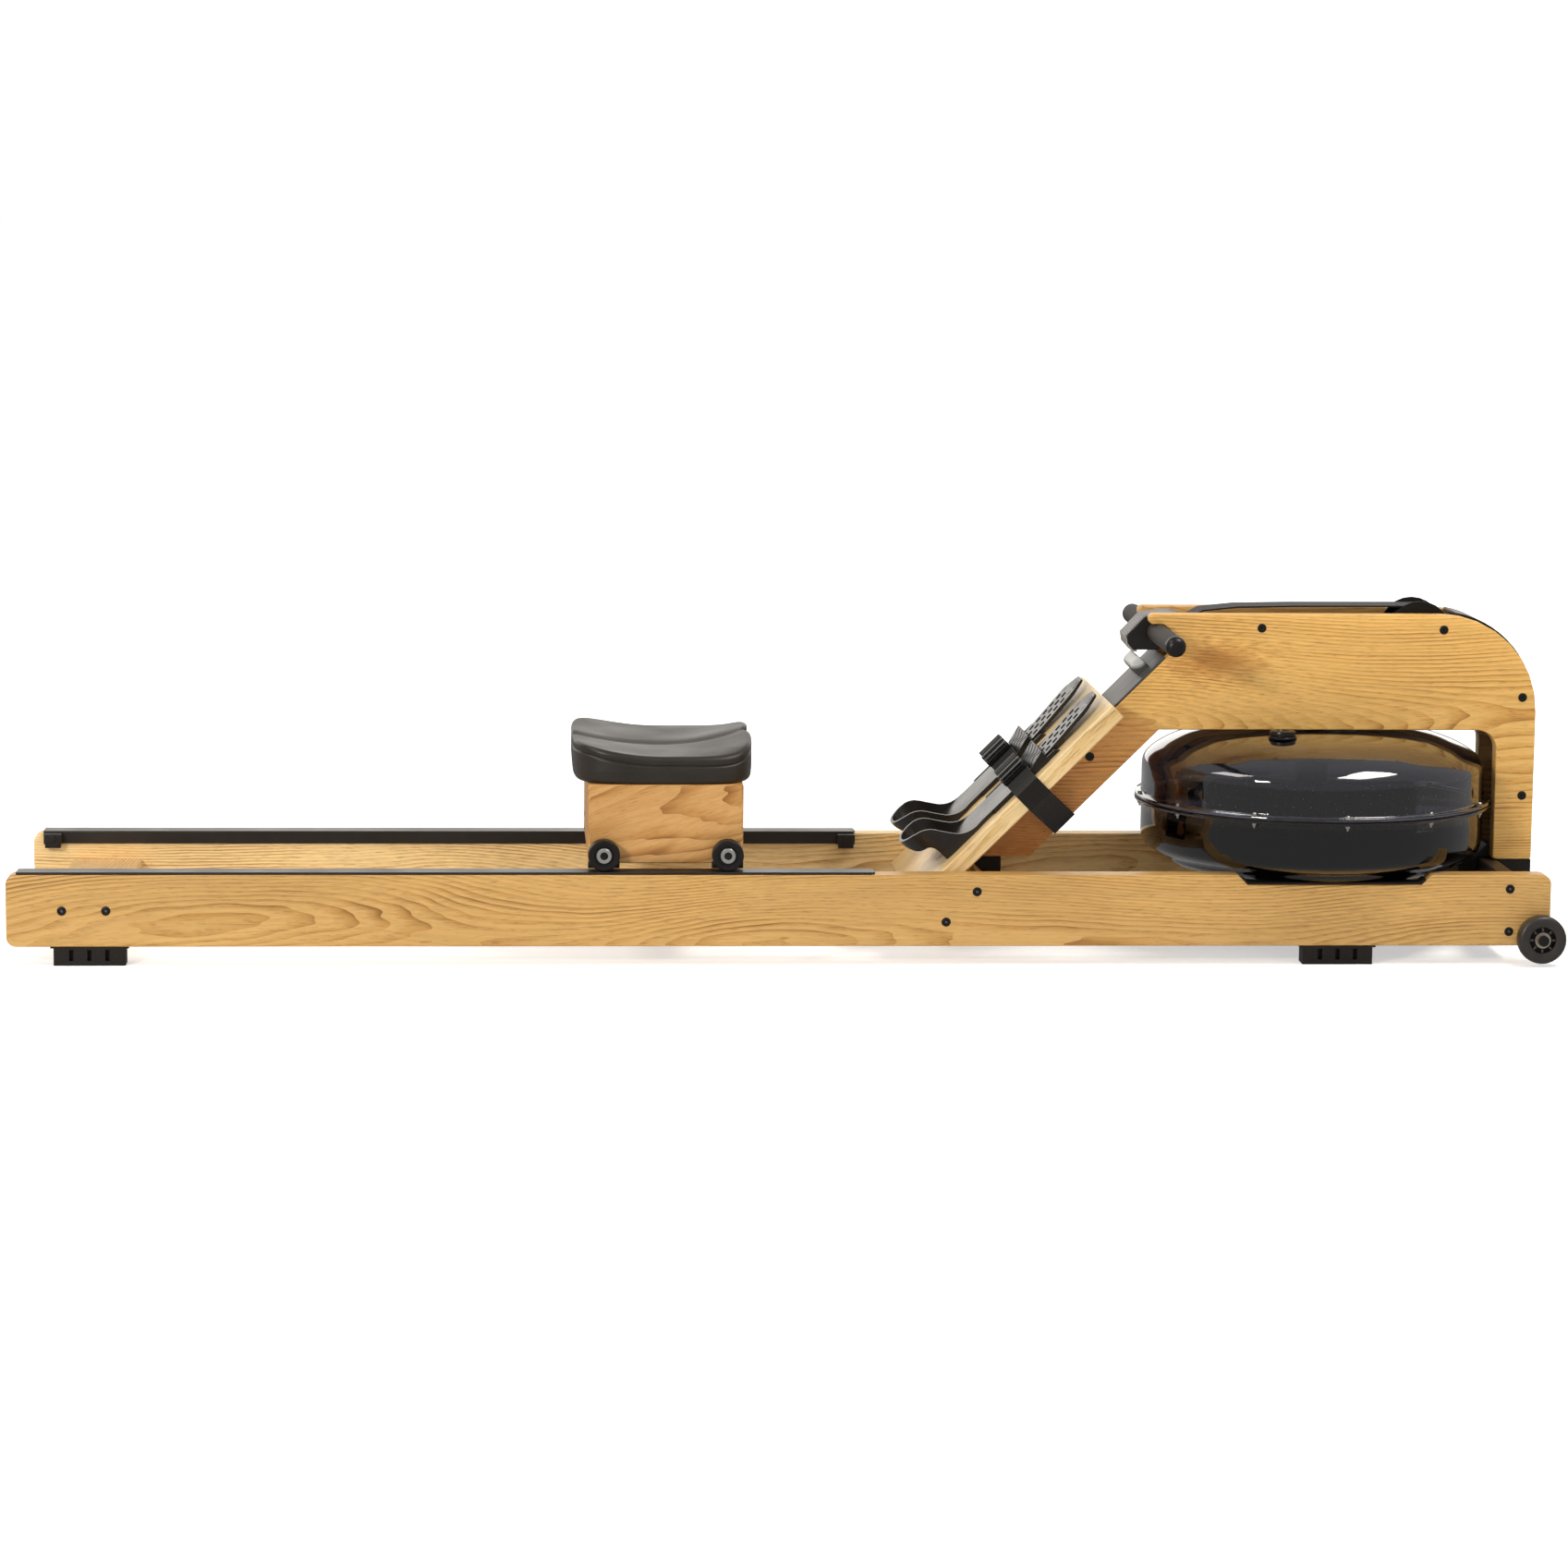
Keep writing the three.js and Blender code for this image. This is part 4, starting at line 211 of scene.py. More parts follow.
        # the sloping leg is a slightly redder stave glued on below a slanting joint; below it the colour is
        # painted darker and redder downwards, painted shade cast by the footboard
        joint_place, joint_facing = (0.435, 0, 0.353), (-0.511, 0, -0.860)
        unstained = (1, 1, 1, 1)
        from_joint = put(tree, "VectorMath", {0: where, 1: joint_place}, operation="SUBTRACT")
        below = put(tree, "VectorMath", {0: from_joint, 1: joint_facing}, operation="DOT_PRODUCT")
        depth = below.outputs["Value"]
        in_leg = put(tree, "MapRange", {"Value": depth, "From Min": -0.005, "From Max": 0.008})
        footboard_shade = put(tree, "MapRange", {"Value": depth, "From Min": 0.0, "From Max": 0.2})
        leg_tint_and_shade = put(tree, "Mix", {0: footboard_shade, 6: (0.98, 0.84, 0.78, 1), 7: (0.84, 0.62, 0.52, 1)},
                  data_type="RGBA")
        leg_joint_and_shade = put(tree, "Mix", {0: in_leg, 6: unstained, 7: leg_tint_and_shade.outputs[2]}, data_type="RGBA")
        final = put(tree, "VectorMath", {0: final, 1: leg_joint_and_shade.outputs[2]}, operation="MULTIPLY")
        # painted shadow of the handle on the beam, down and right of the grip: a long brown patch that
        # follows the grain
        handle_shadow_x, handle_shadow_z, handle_shadow_stretch = 0.592, 0.402, 2.4
        handle_shadow_flat = put(tree, "VectorMath", {0: bent, 1: (1, 0, handle_shadow_stretch)}, operation="MULTIPLY")
        handle_shadow_spot = Vector((handle_shadow_x + shift[0], 0, (handle_shadow_z + shift[2]) * handle_shadow_stretch))
        handle_shadow_near = put(tree, "VectorMath", {0: handle_shadow_flat, 1: handle_shadow_spot}, operation="DISTANCE")
        handle_shadow_haze = put(tree, "Math", {0: handle_shadow_near.outputs["Value"], 1: fibre.outputs["Fac"]},
                        operation="MULTIPLY")
        handle_shadow_in = put(tree, "MapRange", {"Value": handle_shadow_haze, "From Min": 0.012, "From Max": 0.045,
                                         "To Min": 1.0, "To Max": 0.0})
        handle_shadow_tint = put(tree, "Mix", {0: handle_shadow_in, 6: unstained, 7: (0.74, 0.58, 0.42, 1)}, data_type="RGBA")
        final = put(tree, "VectorMath", {0: final, 1: handle_shadow_tint.outputs[2]}, operation="MULTIPLY")
    tree.links.new(final.outputs[0], shader.inputs["Base Color"])
    gloss = put(tree, "MapRange", {"Value": pore_weight, "To Min": satin, "To Max": satin + 0.16})
    tree.links.new(gloss.outputs[0], shader.inputs["Roughness"])
    relief = put(tree, "Math", {0: fibre.outputs["Fac"], 1: pore_weight}, operation="SUBTRACT")
    bump = put(tree, "Bump", {"Height": relief, "Strength": 0.3, "Distance": 0.0003})
    tree.links.new(bump.outputs[0], shader.inputs["Normal"])
    return material


def moulded_black(name, colour, rough, grain_mm, relief, gloss_level=0.22):
    # glass-filled nylon from a sparked mould: near black in front and pale at a glance
    # its pebble is drawn coarser than the real one, so that it shows
    material, tree, shader, where = new_material(name)
    pebble = put(tree, "TexNoise", {"Vector": where, "Scale": 1000 / grain_mm, "Detail": 2.0})
    wipe = put(tree, "TexNoise", {"Vector": where, "Scale": 14.0, "Detail": 3.0})
    gloss = put(tree, "MapRange", {"Value": wipe.outputs["Fac"], "From Min": 0.3, "From Max": 0.7,
                                   "To Min": rough - 0.05, "To Max": rough + 0.06})
    tone = put(tree, "ValToRGB", {"Fac": wipe.outputs["Fac"]})
    base = Vector(linear(colour)[:3])
    tone.color_ramp.elements[0].position = 0.3
    tone.color_ramp.elements[0].color = (*(base * 0.85), 1)
    tone.color_ramp.elements[1].position = 0.75
    tone.color_ramp.elements[1].color = (*(base * 1.25), 1)
    tree.links.new(tone.outputs[0], shader.inputs["Base Color"])
    tree.links.new(gloss.outputs[0], shader.inputs["Roughness"])
    bump = put(tree, "Bump", {"Height": pebble.outputs["Fac"], "Strength": 0.5, "Distance": relief})
    tree.links.new(bump.outputs[0], shader.inputs["Normal"])
    shader.inputs["IOR"].default_value = 1.5
    shader.inputs["Specular IOR Level"].default_value = gloss_level
    return material


def metal(name, colour, rough, brushed=(1, 1, 1), lines_mm=1.5):
    # turned or brushed metal: tool marks run round or along the piece and stretch its highlights
    # the marks are drawn coarser than the real ones, so that they show
    material, tree, shader, where = new_material(name)
    along = put(tree, "Mapping", {"Vector": where, "Scale": brushed})
    marks = put(tree, "TexNoise", {"Vector": along, "Scale": 1000 / lines_mm, "Detail": 3.0})
    gloss = put(tree, "MapRange", {"Value": marks.outputs["Fac"],
                                   "To Min": rough - 0.08, "To Max": rough + 0.1})
    tree.links.new(gloss.outputs[0], shader.inputs["Roughness"])
    bump = put(tree, "Bump", {"Height": marks.outputs["Fac"], "Strength": 0.25, "Distance": 0.0001})
    tree.links.new(bump.outputs[0], shader.inputs["Normal"])
    shader.inputs["Base Color"].default_value = linear(colour)
    shader.inputs["Metallic"].default_value = 1.0
    return material


def finished(bm, name, material, body, crease):
    # the mesh becomes a piece: round faces shade smoothly, and edges over the crease angle stay sharp
    mesh = bpy.data.meshes.new(name)
    for face in bm.faces:
        face.smooth = True
    for edge in bm.edges:
        edge.smooth = not edge.is_manifold or edge.calc_face_angle(0) < math.radians(crease)
    bm.to_mesh(mesh)
    bm.free()
    mesh.materials.append(material)
    piece = bpy.data.objects.new(name, mesh)
    scene.collection.objects.link(piece)
    if body:
        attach(piece, body)
    return piece


def softened(node, material, body, edge_mm=0.0, crease=40, toe_mm=0.0):
    # a merged copy of a CAD node with its edges rounded; flats keep their own normals
    bm = bmesh.new()
    bm.from_mesh(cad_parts[node].data)
    bmesh.ops.remove_doubles(bm, verts=bm.verts, dist=1e-5)
    bmesh.ops.dissolve_limit(bm, angle_limit=math.radians(0.6), verts=bm.verts, edges=bm.edges)
    if toe_mm:
        # the lower corners at both ends are rounded: rings are cut, and their end vertices move inwards
        toe = toe_mm / 1000
        low = min(v.co.z for v in bm.verts)
        back = min(v.co.x for v in bm.verts)
        front = max(v.co.x for v in bm.verts)
        for k in range(1, 5):
            whole = bm.verts[:] + bm.edges[:] + bm.faces[:]
            bmesh.ops.bisect_plane(bm, geom=whole, plane_co=(0, 0, low + toe * k / 4), plane_no=(0, 0, 1),
                                   dist=1e-6)
        for vert in bm.verts:
            lift = (vert.co.z - low) / toe
            near = min(vert.co.x - back, front - vert.co.x)
            if lift < 1 and near < 0.6 * toe:
                pull = toe * (1 - math.sqrt(1 - (1 - lift) ** 2)) - min(near, toe * 0.2)
                vert.co.x += max(0.0, pull) * (1 if vert.co.x - back < front - vert.co.x else -1)
    if edge_mm:
        sharp = [e for e in bm.edges if e.is_manifold and e.calc_face_angle(0) > math.radians(28)]
        bmesh.ops.bevel(bm, geom=sharp, offset=edge_mm / 1000, offset_type="OFFSET", segments=2,
                        profile=0.5, affect="EDGES", clamp_overlap=True, material=-1)
    bmesh.ops.triangulate(bm, faces=[f for f in bm.faces if len(f.verts) > 4])
    piece = finished(bm, node + "_dressed", material, body, crease)
    weighted = piece.modifiers.new("even_shading", "WEIGHTED_NORMAL")
    weighted.keep_sharp = True
    weighted.weight = 90
    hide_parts(node)
    return piece


def spun(bm, profile, steps, matrix):
    # a profile of (radius, height) in millimetres is turned into a closed body and laid in place
    points = [bm.verts.new((r / 1000, 0, h / 1000)) for r, h in profile]
    edges = [bm.edges.new(pair) for pair in zip(points, points[1:])]
    if profile[0][0] > 0.001 or profile[-1][0] > 0.001:
        edges.append(bm.edges.new((points[-1], points[0])))
    before = set(bm.verts) - set(points)
    bmesh.ops.spin(bm, geom=points + edges, cent=(0, 0, 0), axis=(0, 0, 1), angle=2 * math.pi, steps=steps,
                   use_merge=True)
    made = [v for v in bm.verts if v not in before]
    bmesh.ops.remove_doubles(bm, verts=made, dist=1e-6)
    made = [v for v in bm.verts if v not in before]
    bmesh.ops.transform(bm, matrix=matrix, verts=made)
    bmesh.ops.recalc_face_normals(bm, faces=list({f for v in made for f in v.link_faces}))


# Turned pieces lie across the machine or stand upright.
lay_along = {"y": Matrix.Rotation(-math.pi / 2, 4, "X"), "z": Matrix.Identity(4)}


def turned(name, profile, centre, axis, material, body, steps=96, crease=32):
    bm = bmesh.new()
    spun(bm, profile, steps, Matrix.Translation(centre) @ lay_along[axis])
    return finished(bm, name, material, body, crease)


rail_oak_right = oak("oiled_oak_rail_right", (0.35, 0.252, -0.02), "#d6ab67", "#c3944e", "#80501d",
                     rings_mm=4.6, satin=0.36)
# the far rail's oak is drawn paler than the near rail's: painted light on its inner face, which the lamps
# light less
rail_oak_left = oak("oiled_oak_rail_left", (1.9, -0.15, -0.06), "#fcdc9e", "#e8bb79", "#9d6530", satin=0.36)
board_oak = oak("oiled_oak_boards", (0.3, 0.4, 0.2), "#e5c08a", "#dab074", "#c0935a", tilt=math.pi / 2)
softened("rail_right", rail_oak_right, "frame", crease=50)
softened("rail_left", rail_oak_left, "frame", crease=50)
stained_oak = oak("black_stained_oak_board", (0.3, 0.4, 0.2), "#2a2019", "#251c16", "#17110e",
                  tilt=math.pi / 2)
for board, stain in (("rear", board_oak), ("middle", board_oak), ("front", stained_oak)):
    softened(board + "_cross_member", stain, "frame", edge_mm=1.2)


def screw_seat(x, z, face, side):
    # the place of a screw in the outer face of a board, its axis across the machine
    return Matrix.Translation((x, side * face, z)) @ Matrix.Rotation(-side * math.pi / 2, 4, "X")


def screw_heads(name, places, face, material, body):
    # socket screws: a black collar lines the hole in the wood round a low head with a round socket
    collar = [(0, -1.2), (2.0, -1.2), (2.1, 0.9), (2.5, 1.15), (4.0, 1.15), (4.8, 0.85), (5.0, 0.5),
              (5.9, 0.5), (6.3, 0.2), (6.3, -0.4), (5.0, -2.4), (0, -2.4)]
    bm = bmesh.new()
    for x, z in places:
        for side in (-1, 1):
            spun(bm, collar, 20, screw_seat(x, z, face, side))
    return finished(bm, name, material, body, 35)


rail_face = 0.2
screw_black = moulded_black("black_oxide_screw_steel", "#0f0d0c", 0.36, 1.4, 0.00004, 0.5)
rail_screw_places = [(-0.98475, 0.0751), (-0.92575, 0.0751), (0.98375, 0.0456), (0.98375, 0.1046),
                     (0.20888, 0.05936), (0.2506, 0.10108)]
screw_heads("rail_screws", rail_screw_places, rail_face, screw_black, "frame")
# each screw socket holds a bright steel disc, so the sockets show light centres
socket_steel = metal("bright_socket_steel", "#9b9893", 0.4, lines_mm=0.5)
socket_line = [(0, -1.3), (1.5, -1.3), (1.5, 0.4), (0, 0.6)]
socket_bm = bmesh.new()
for x, z in rail_screw_places:
    for side in (-1, 1):
        spun(socket_bm, socket_line, 16, screw_seat(x, z, rail_face, side))
finished(socket_bm, "rail_screw_sockets", socket_steel, "frame", 35)


# Seat tracks: dark anodised angle pressed over each rail, with a steel stop at both ends.
# The anodised skin is fine and even, with a soft sheen.
track_metal = moulded_black("dark_anodised_aluminium_track", "#23201e", 0.34, 1.6, 0.00005, 0.5)
for side in ("right", "left"):
    softened("track_" + side, track_metal, "frame", edge_mm=0.5)


# Feet: ribbed blocks of black rubber, moulded round a thin plate and screwed under the rails.
# Their lower corners are rounded off at both ends.
foot_rubber = moulded_black("moulded_foot_rubber", "#25211e", 0.55, 2.6, 0.0002)
for end in ("rear", "front"):
    for side in ("right", "left"):
        softened(f"foot_{end}_{side}", foot_rubber, "frame", edge_mm=1.0, toe_mm=4.5)


# Transport wheels: solid black rubber tyres on spoked nylon hubs with a bronze bush and an axle screw.
# They are turned about the axle, so the tread is a crowned band with rounded shoulders.
def block(bm, place, size):
    # a plain block of this size in metres, laid in place
    made = bmesh.ops.create_cube(bm, size=1.0)
    bmesh.ops.transform(bm, matrix=place @ Matrix.Diagonal((*size, 1)), verts=made["verts"])


def ease_edges(bm, width, steps=2):
    # every edge of the blocks gets a rounding of this width in metres
    bmesh.ops.bevel(bm, geom=bm.edges[:], offset=width, segments=steps, profile=0.5, affect="EDGES",
                    material=-1)


def both_faces(half):
    # a profile that is the same on both faces of a wheel, from its rear half
    return half + [(r, -h) for r, h in reversed(half)]


wheel_rubber = moulded_black("moulded_wheel_rubber", "#302c29", 0.34, 1.8, 0.00006, 0.6)
hub_plastic = moulded_black("moulded_hub_nylon", "#131110", 0.38, 1.6, 0.00008)
# the spoke ribs are drawn a paler grey than the hub: a painted glint on their edges
spoke_glint_plastic = moulded_black("spoke_edges_painted_glint", "#4a4642", 0.34, 1.6, 0.00005, 0.6)
bush_bronze = metal("sintered_bronze_bush", "#efe3d2", 0.48, lines_mm=0.7)
tyre_line = both_faces([(17.7, -8.6), (18.6, -9.8), (21, -10.7), (24, -11.4), (27, -11.8), (29.6, -11.4),
                        (31.6, -10), (32.8, -7.6), (33.2, -3)])
disc_line = both_faces([(11.2, -9.4), (11.8, -9.7), (12.3, -9.2), (12.6, -5.2), (16.4, -4.8), (16.9, -7.4),
                        (17.8, -8.4)])
bush_line = both_faces([(6.2, -8.6), (7.4, -9.0), (7.8, -7.9), (8.6, -7.9), (9.0, -9.2), (10.8, -9.4),
                        (11.2, -8.8)])
wheel_x, wheel_y, wheel_z = 1.02605, 0.215, 0.0373
spokes, spoke_reach, spoke_size = 8, 0.0146, (0.0054, 0.0162, 0.0026)
for side, sign in (("right", -1), ("left", 1)):
    middle = (wheel_x, sign * wheel_y, wheel_z)
    body = f"wheel_{side}_body"
    tyre = turned(f"wheel_tyre_{side}", tyre_line, middle, "y", wheel_rubber, body)
    turned(f"wheel_disc_{side}", disc_line, middle, "y", hub_plastic, body)
    turned(f"wheel_bearing_{side}", bush_line, middle, "y", bush_bronze, body)
    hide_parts("transport_wheel_" + side)
    rib_bm = bmesh.new()
    for i in range(spokes):
        spoke = Matrix.Translation(middle) @ Matrix.Rotation(i * 2 * math.pi / spokes, 4, "Y")
        block(rib_bm, spoke @ Matrix.Translation((spoke_reach, 0, 0)), spoke_size)
    ease_edges(rib_bm, 0.0005)
    finished(rib_bm, f"wheel_ribs_{side}", spoke_glint_plastic, body, 35)
    softened("wheel_axle_" + side, screw_black, "frame", edge_mm=0.4)


# Deck: two oak panels cut from one outline, with a level beam, a sloping leg and an upright leg.
# Steel rods and black brackets hold them apart and down on the cross boards.
# Grey and black cover sheets close the slope and the back between them.
panel_oak_right = oak("oiled_oak_panel_right", (0.9, 0.10, -0.32), "#efbe6c", "#dfa755", "#a3692b",
                      rings_mm=5.0, wander=0.2, leg=True)
panel_oak_left = oak("oiled_oak_panel_left", (-0.4, -0.2, -0.30), "#dcae6c", "#cb9854", "#9f6c30",
                     rings_mm=5.4, wander=0.2, leg=True)
softened("deck_panel_right", panel_oak_right, "frame", crease=50)
softened("deck_panel_left", panel_oak_left, "frame", crease=50)
panel_face = 0.0673
deck_screw_places = [(0.65445, 0.4482), (0.90905, 0.4465), (1.02245, 0.3525), (1.02585, 0.2148),
                     (0.41835, 0.2685)]
screw_heads("deck_screws", deck_screw_places, panel_face, screw_black, "frame")
rod_steel = metal("turned_spacer_steel", "#b2b4b6", 0.3, brushed=(1, 0.05, 1))
for rod in ("deck_spacer_upper", "deck_spacer_lower", "deck_spacer_rear"):
    softened(rod, rod_steel, "frame", edge_mm=0.5)
bracket_black = moulded_black("powder_coated_steel_bracket", "#1c1917", 0.42, 1.5, 0.00008, 0.35)
for bracket in ("rear_leg_bracket", "front_leg_bracket", "bearing_plate"):
    softened(bracket, bracket_black, "frame", edge_mm=0.8)
cover_grey = moulded_black("thermoformed_cover_sheet", "#4d4c4c", 0.4, 2.0, 0.00004, 0.3)
# The handle rest at its top is the same sheet, drawn in a lighter grey.
cover_rest_place = (0.482, 0, 0.408)
cover_tree = cover_grey.node_tree
cover_face = cover_tree.nodes["Principled BSDF"].inputs["Base Color"]
cover_where = put(cover_tree, "TexCoord").outputs["Object"]
cover_flat = put(cover_tree, "VectorMath", {0: cover_where, 1: (1, 0, 1)}, operation="MULTIPLY")
cover_near = put(cover_tree, "VectorMath", {0: cover_flat, 1: cover_rest_place}, operation="DISTANCE")
cover_rest = put(cover_tree, "MapRange", {"Value": cover_near.outputs["Value"],
                                          "From Min": 0.015, "From Max": 0.021})
cover_tone = put(cover_tree, "Mix", {0: cover_rest, 6: linear("#d4d4d2"),
                                     7: cover_face.links[0].from_socket}, data_type="RGBA")
cover_tree.links.new(cover_tone.outputs[2], cover_face)
cover_black = moulded_black("black_cover_sheet", "#171412", 0.36, 2.0, 0.00005, 0.4)
softened("slope_cover", cover_grey, "frame", edge_mm=1.4)
softened("back_cover", cover_black, "frame", edge_mm=0.7, crease=50)


# Footboard: one pale oak board screwed to the sloping legs, its long grain running up the slope.
# The foot plates and their guide bridges stand on it.
slope_turn = math.pi / 4
foot_oak = oak("oiled_oak_footboard", (0.1, 0.33, 0.12), "#eacd98", "#dfbc80", "#bf9554", turn=slope_turn,
               satin=0.3)
softened("footboard", foot_oak, "frame", edge_mm=1.6)

# Foot plates: black nylon heel cups with thin soles and slotted tongues, moulded in one piece each.
# Guide bridges screwed to the board hold the tongues down and carry cast wave ribs on their tops.
plate_black = moulded_black("moulded_foot_plate_nylon", "#211d1a", 0.27, 2.4, 0.00003, 0.5)
bridge_black = moulded_black("moulded_bridge_nylon", "#1c1917", 0.28, 2.0, 0.00003, 0.45)
# near-black inlays over the tongue's slots: painted shade in the holes
slot_shade_black = moulded_black("painted_slot_shade", "#0b0908", 0.9, 2.0, 0.00002, 0.02)
slope_place = Matrix.Translation((0.24035, 0, 0.1242)) @ Matrix.Rotation(-slope_turn, 4, "Y")
# Places along the slope, heights and slants of the bridge, the tongue, its tip and its slots.
board_top = 24.3
bridge_foot, bridge_top, bridge_slant = 158, 10.6, 7.4 / 28
tongue_foot, tongue_top, tongue_slant = 165, 5.6, 0.087
tip_foot, tip_long, tip_fall = 268, 26, 0.5
slot_foot, slot_pitch, slot_across = 166, 14.5, 23


def on_slope(run, across, rise):
    # a place in millimetres up the board, across it and off its underside
    return slope_place @ Matrix.Translation((run / 1000, across / 1000, rise / 1000))


# The left plate sits two millimetres further up the board than the right one.
for side, offset, shift in (("right", -81, 0), ("left", 81, 2)):
    body = f"foot_plate_{side}_body"
    softened("foot_plate_" + side, plate_black, body, edge_mm=0.8, crease=35)
    softened("foot_bridge_" + side, bridge_black, "frame", edge_mm=0.6, crease=50)
    wave_data = bpy.data.curves.new("bridge_waves_" + side, "CURVE")
    wave_data.dimensions = "3D"
    wave_data.bevel_depth = 0.0005
    wave_data.bevel_resolution = 1
    for row in range(-2, 3):
        wave = wave_data.splines.new("POLY")
        wave.points.add(20)
        for k, point in enumerate(wave.points):
            run = bridge_foot + 1.5 + k * 1.25
            across = offset + row * 20 + 8 * math.sin(k * 0.34 + row * 0.9)
            rise = board_top + bridge_top + (run - bridge_foot) * bridge_slant + 0.15
            point.co = (*on_slope(run, across, rise).translation, 1)
    waves = bpy.data.objects.new("bridge_waves_" + side, wave_data)
    waves.data.materials.append(bridge_black)
    scene.collection.objects.link(waves)
    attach(waves, "frame")
    ridge_bm = bmesh.new()
    for k in range(7):
        run = tip_foot + 8 + k * 2
        fall = tip_fall * (run - tip_foot) / tip_long
        rise = board_top + tongue_top + (run - tongue_foot) * tongue_slant - fall
        block(ridge_bm, on_slope(run + shift, offset, rise), (0.0009, 0.044 - k * 0.0014, 0.0013))
    ease_edges(ridge_bm, 0.0002, 1)
    finished(ridge_bm, "tongue_ridges_" + side, plate_black, body, 35)
    # the tongue's slots are closed by thin near-black inlays: painted shade in the holes
    slot_shade_bm = bmesh.new()
    tongue_turn = Matrix.Rotation(-math.atan(tongue_slant), 4, "Y")
    for k in range(7):
        for row in (-1, 0, 1):
            run = slot_foot + k * slot_pitch + (7 if row == 0 else 0)
            rise = board_top + tongue_top + 0.05 + (run - tongue_foot) * tongue_slant
            place = on_slope(run + shift, offset + row * slot_across, rise) @ tongue_turn
            block(slot_shade_bm, place, (0.0088, 0.0078, 0.0005))
    finished(slot_shade_bm, "tongue_slots_" + side, slot_shade_black, body, 35)


# Foot strap: one band of black polyester webbing round the board, the legs and both foot plates.
# It is a dense plain weave with cross ribs, and two glossy buckles hold it on the board.
def webbing(name, colour, across, along, rough=0.8):
    # woven polyester: dull and soft at its edges; its ribs are drawn 2.4 mm apart, so that they show
    material, tree, shader, where = new_material(name)
    lay = put(tree, "Mapping", {"Vector": where, "Rotation": (0, across, 0)})
    rib = put(tree, "TexWave", {"Vector": lay, "Scale": one_mm_bands / 2.4,
                                "Distortion": 0.4, "Detail": 1.0}, wave_type="BANDS", bands_direction="Y")
    warp = put(tree, "TexWave", {"Vector": lay, "Scale": one_mm_bands / along,
                                 "Distortion": 0.3, "Detail": 1.0}, wave_type="BANDS", bands_direction="X")
    weave = put(tree, "Math", {0: rib.outputs["Fac"], 1: warp.outputs["Fac"]}, operation="MULTIPLY")
    base = Vector(linear(colour)[:3])
    tone = put(tree, "ValToRGB", {"Fac": weave})
    tone.color_ramp.elements[0].color = (*(base * 0.6), 1)
    tone.color_ramp.elements[1].color = (*(base * 1.5), 1)
    tree.links.new(tone.outputs[0], shader.inputs["Base Color"])
    bump = put(tree, "Bump", {"Height": weave, "Strength": 0.7, "Distance": 0.0004})
    tree.links.new(bump.outputs[0], shader.inputs["Normal"])
    shader.inputs["Roughness"].default_value = rough
    shader.inputs["Specular IOR Level"].default_value = 0.25
    shader.inputs["Sheen Weight"].default_value = 0.12
    shader.inputs["Sheen Roughness"].default_value = 0.5
    return material


strap_black = webbing("woven_black_polyester_webbing", "#1d1a18", slope_turn, 3.2)
softened("foot_strap", strap_black, "frame", edge_mm=0.4, crease=50)
buckle_black = moulded_black("glossy_acetal_buckle", "#110f0e", 0.18, 2.0, 0.00004, 0.5)
for side in ("right", "left"):
    softened("buckle_" + side, buckle_black, "frame", edge_mm=0.5, crease=35)


# Handle: a steel bar with two foam rubber sleeves and a moulded yoke clamped at its middle.
# The sleeves are pushed over the bar, and moulded caps close their ends.
bar_x, bar_z = 0.51275, 0.4385
grip_rubber = moulded_black("foam_rubber_sleeve", "#3d3a37", 0.62, 1.8, 0.00015)
cap_black = moulded_black("moulded_grip_cap", "#171412", 0.34, 1.8, 0.00006, 0.4)
bearing_steel = metal("brushed_bearing_steel", "#d8d5d0", 0.44, lines_mm=0.7)
grip_line = [(10.3, 28.5), (12.6, 28.5), (13.0, 29.2), (13.0, 35.6), (12.2, 36.4), (12.2, 37.2),
             (13.5, 38.2), (14.0, 40), (14.0, 213), (13.7, 217), (12.4, 221), (10.0, 224), (6.5, 225.6),
             (0, 226), (0, 222.3), (10.3, 222.3)]
cap_line = [(0, 211), (14.25, 211), (14.3, 214), (14.0, 217.5), (12.7, 221.4), (10.2, 224.4), (6.6, 226.1),
            (0, 226.5)]
for side, sign in (("right", -1), ("left", 1)):
    grip = turned("grip_sleeve_" + side, [(r, h * sign) for r, h in grip_line], (bar_x, 0, bar_z), "y",
                  grip_rubber, "handle")
    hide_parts("grip_" + side)
    turned("grip_cap_" + side, [(r, h * sign) for r, h in cap_line], (bar_x, 0, bar_z), "y", cap_black,
           "handle", steps=64)
softened("handle_bar", bearing_steel, "handle", edge_mm=0.5)
yoke_black = moulded_black("moulded_yoke_nylon", "#1d1a18", 0.34, 2.0, 0.00006, 0.5)
softened("handle_yoke", yoke_black, "handle", edge_mm=1.2)


# Pull strap: a flat woven band over the yoke's front, led over the deck pulley to the drum.
# It is pale speckled grey webbing, painted near black along the deck as painted shade.
# The pulley, the drum and the rollers are moulded nylon. A braided cord turns the drum back.
pull_grey = webbing("woven_pull_strap", "#949290", 0.0, 2.6, 0.65)
pull_tree = pull_grey.node_tree
pull_face = pull_tree.nodes["Principled BSDF"].inputs["Base Color"]
pull_where = put(pull_tree, "TexCoord").outputs["Object"]
pull_along = put(pull_tree, "SeparateXYZ", {0: pull_where})
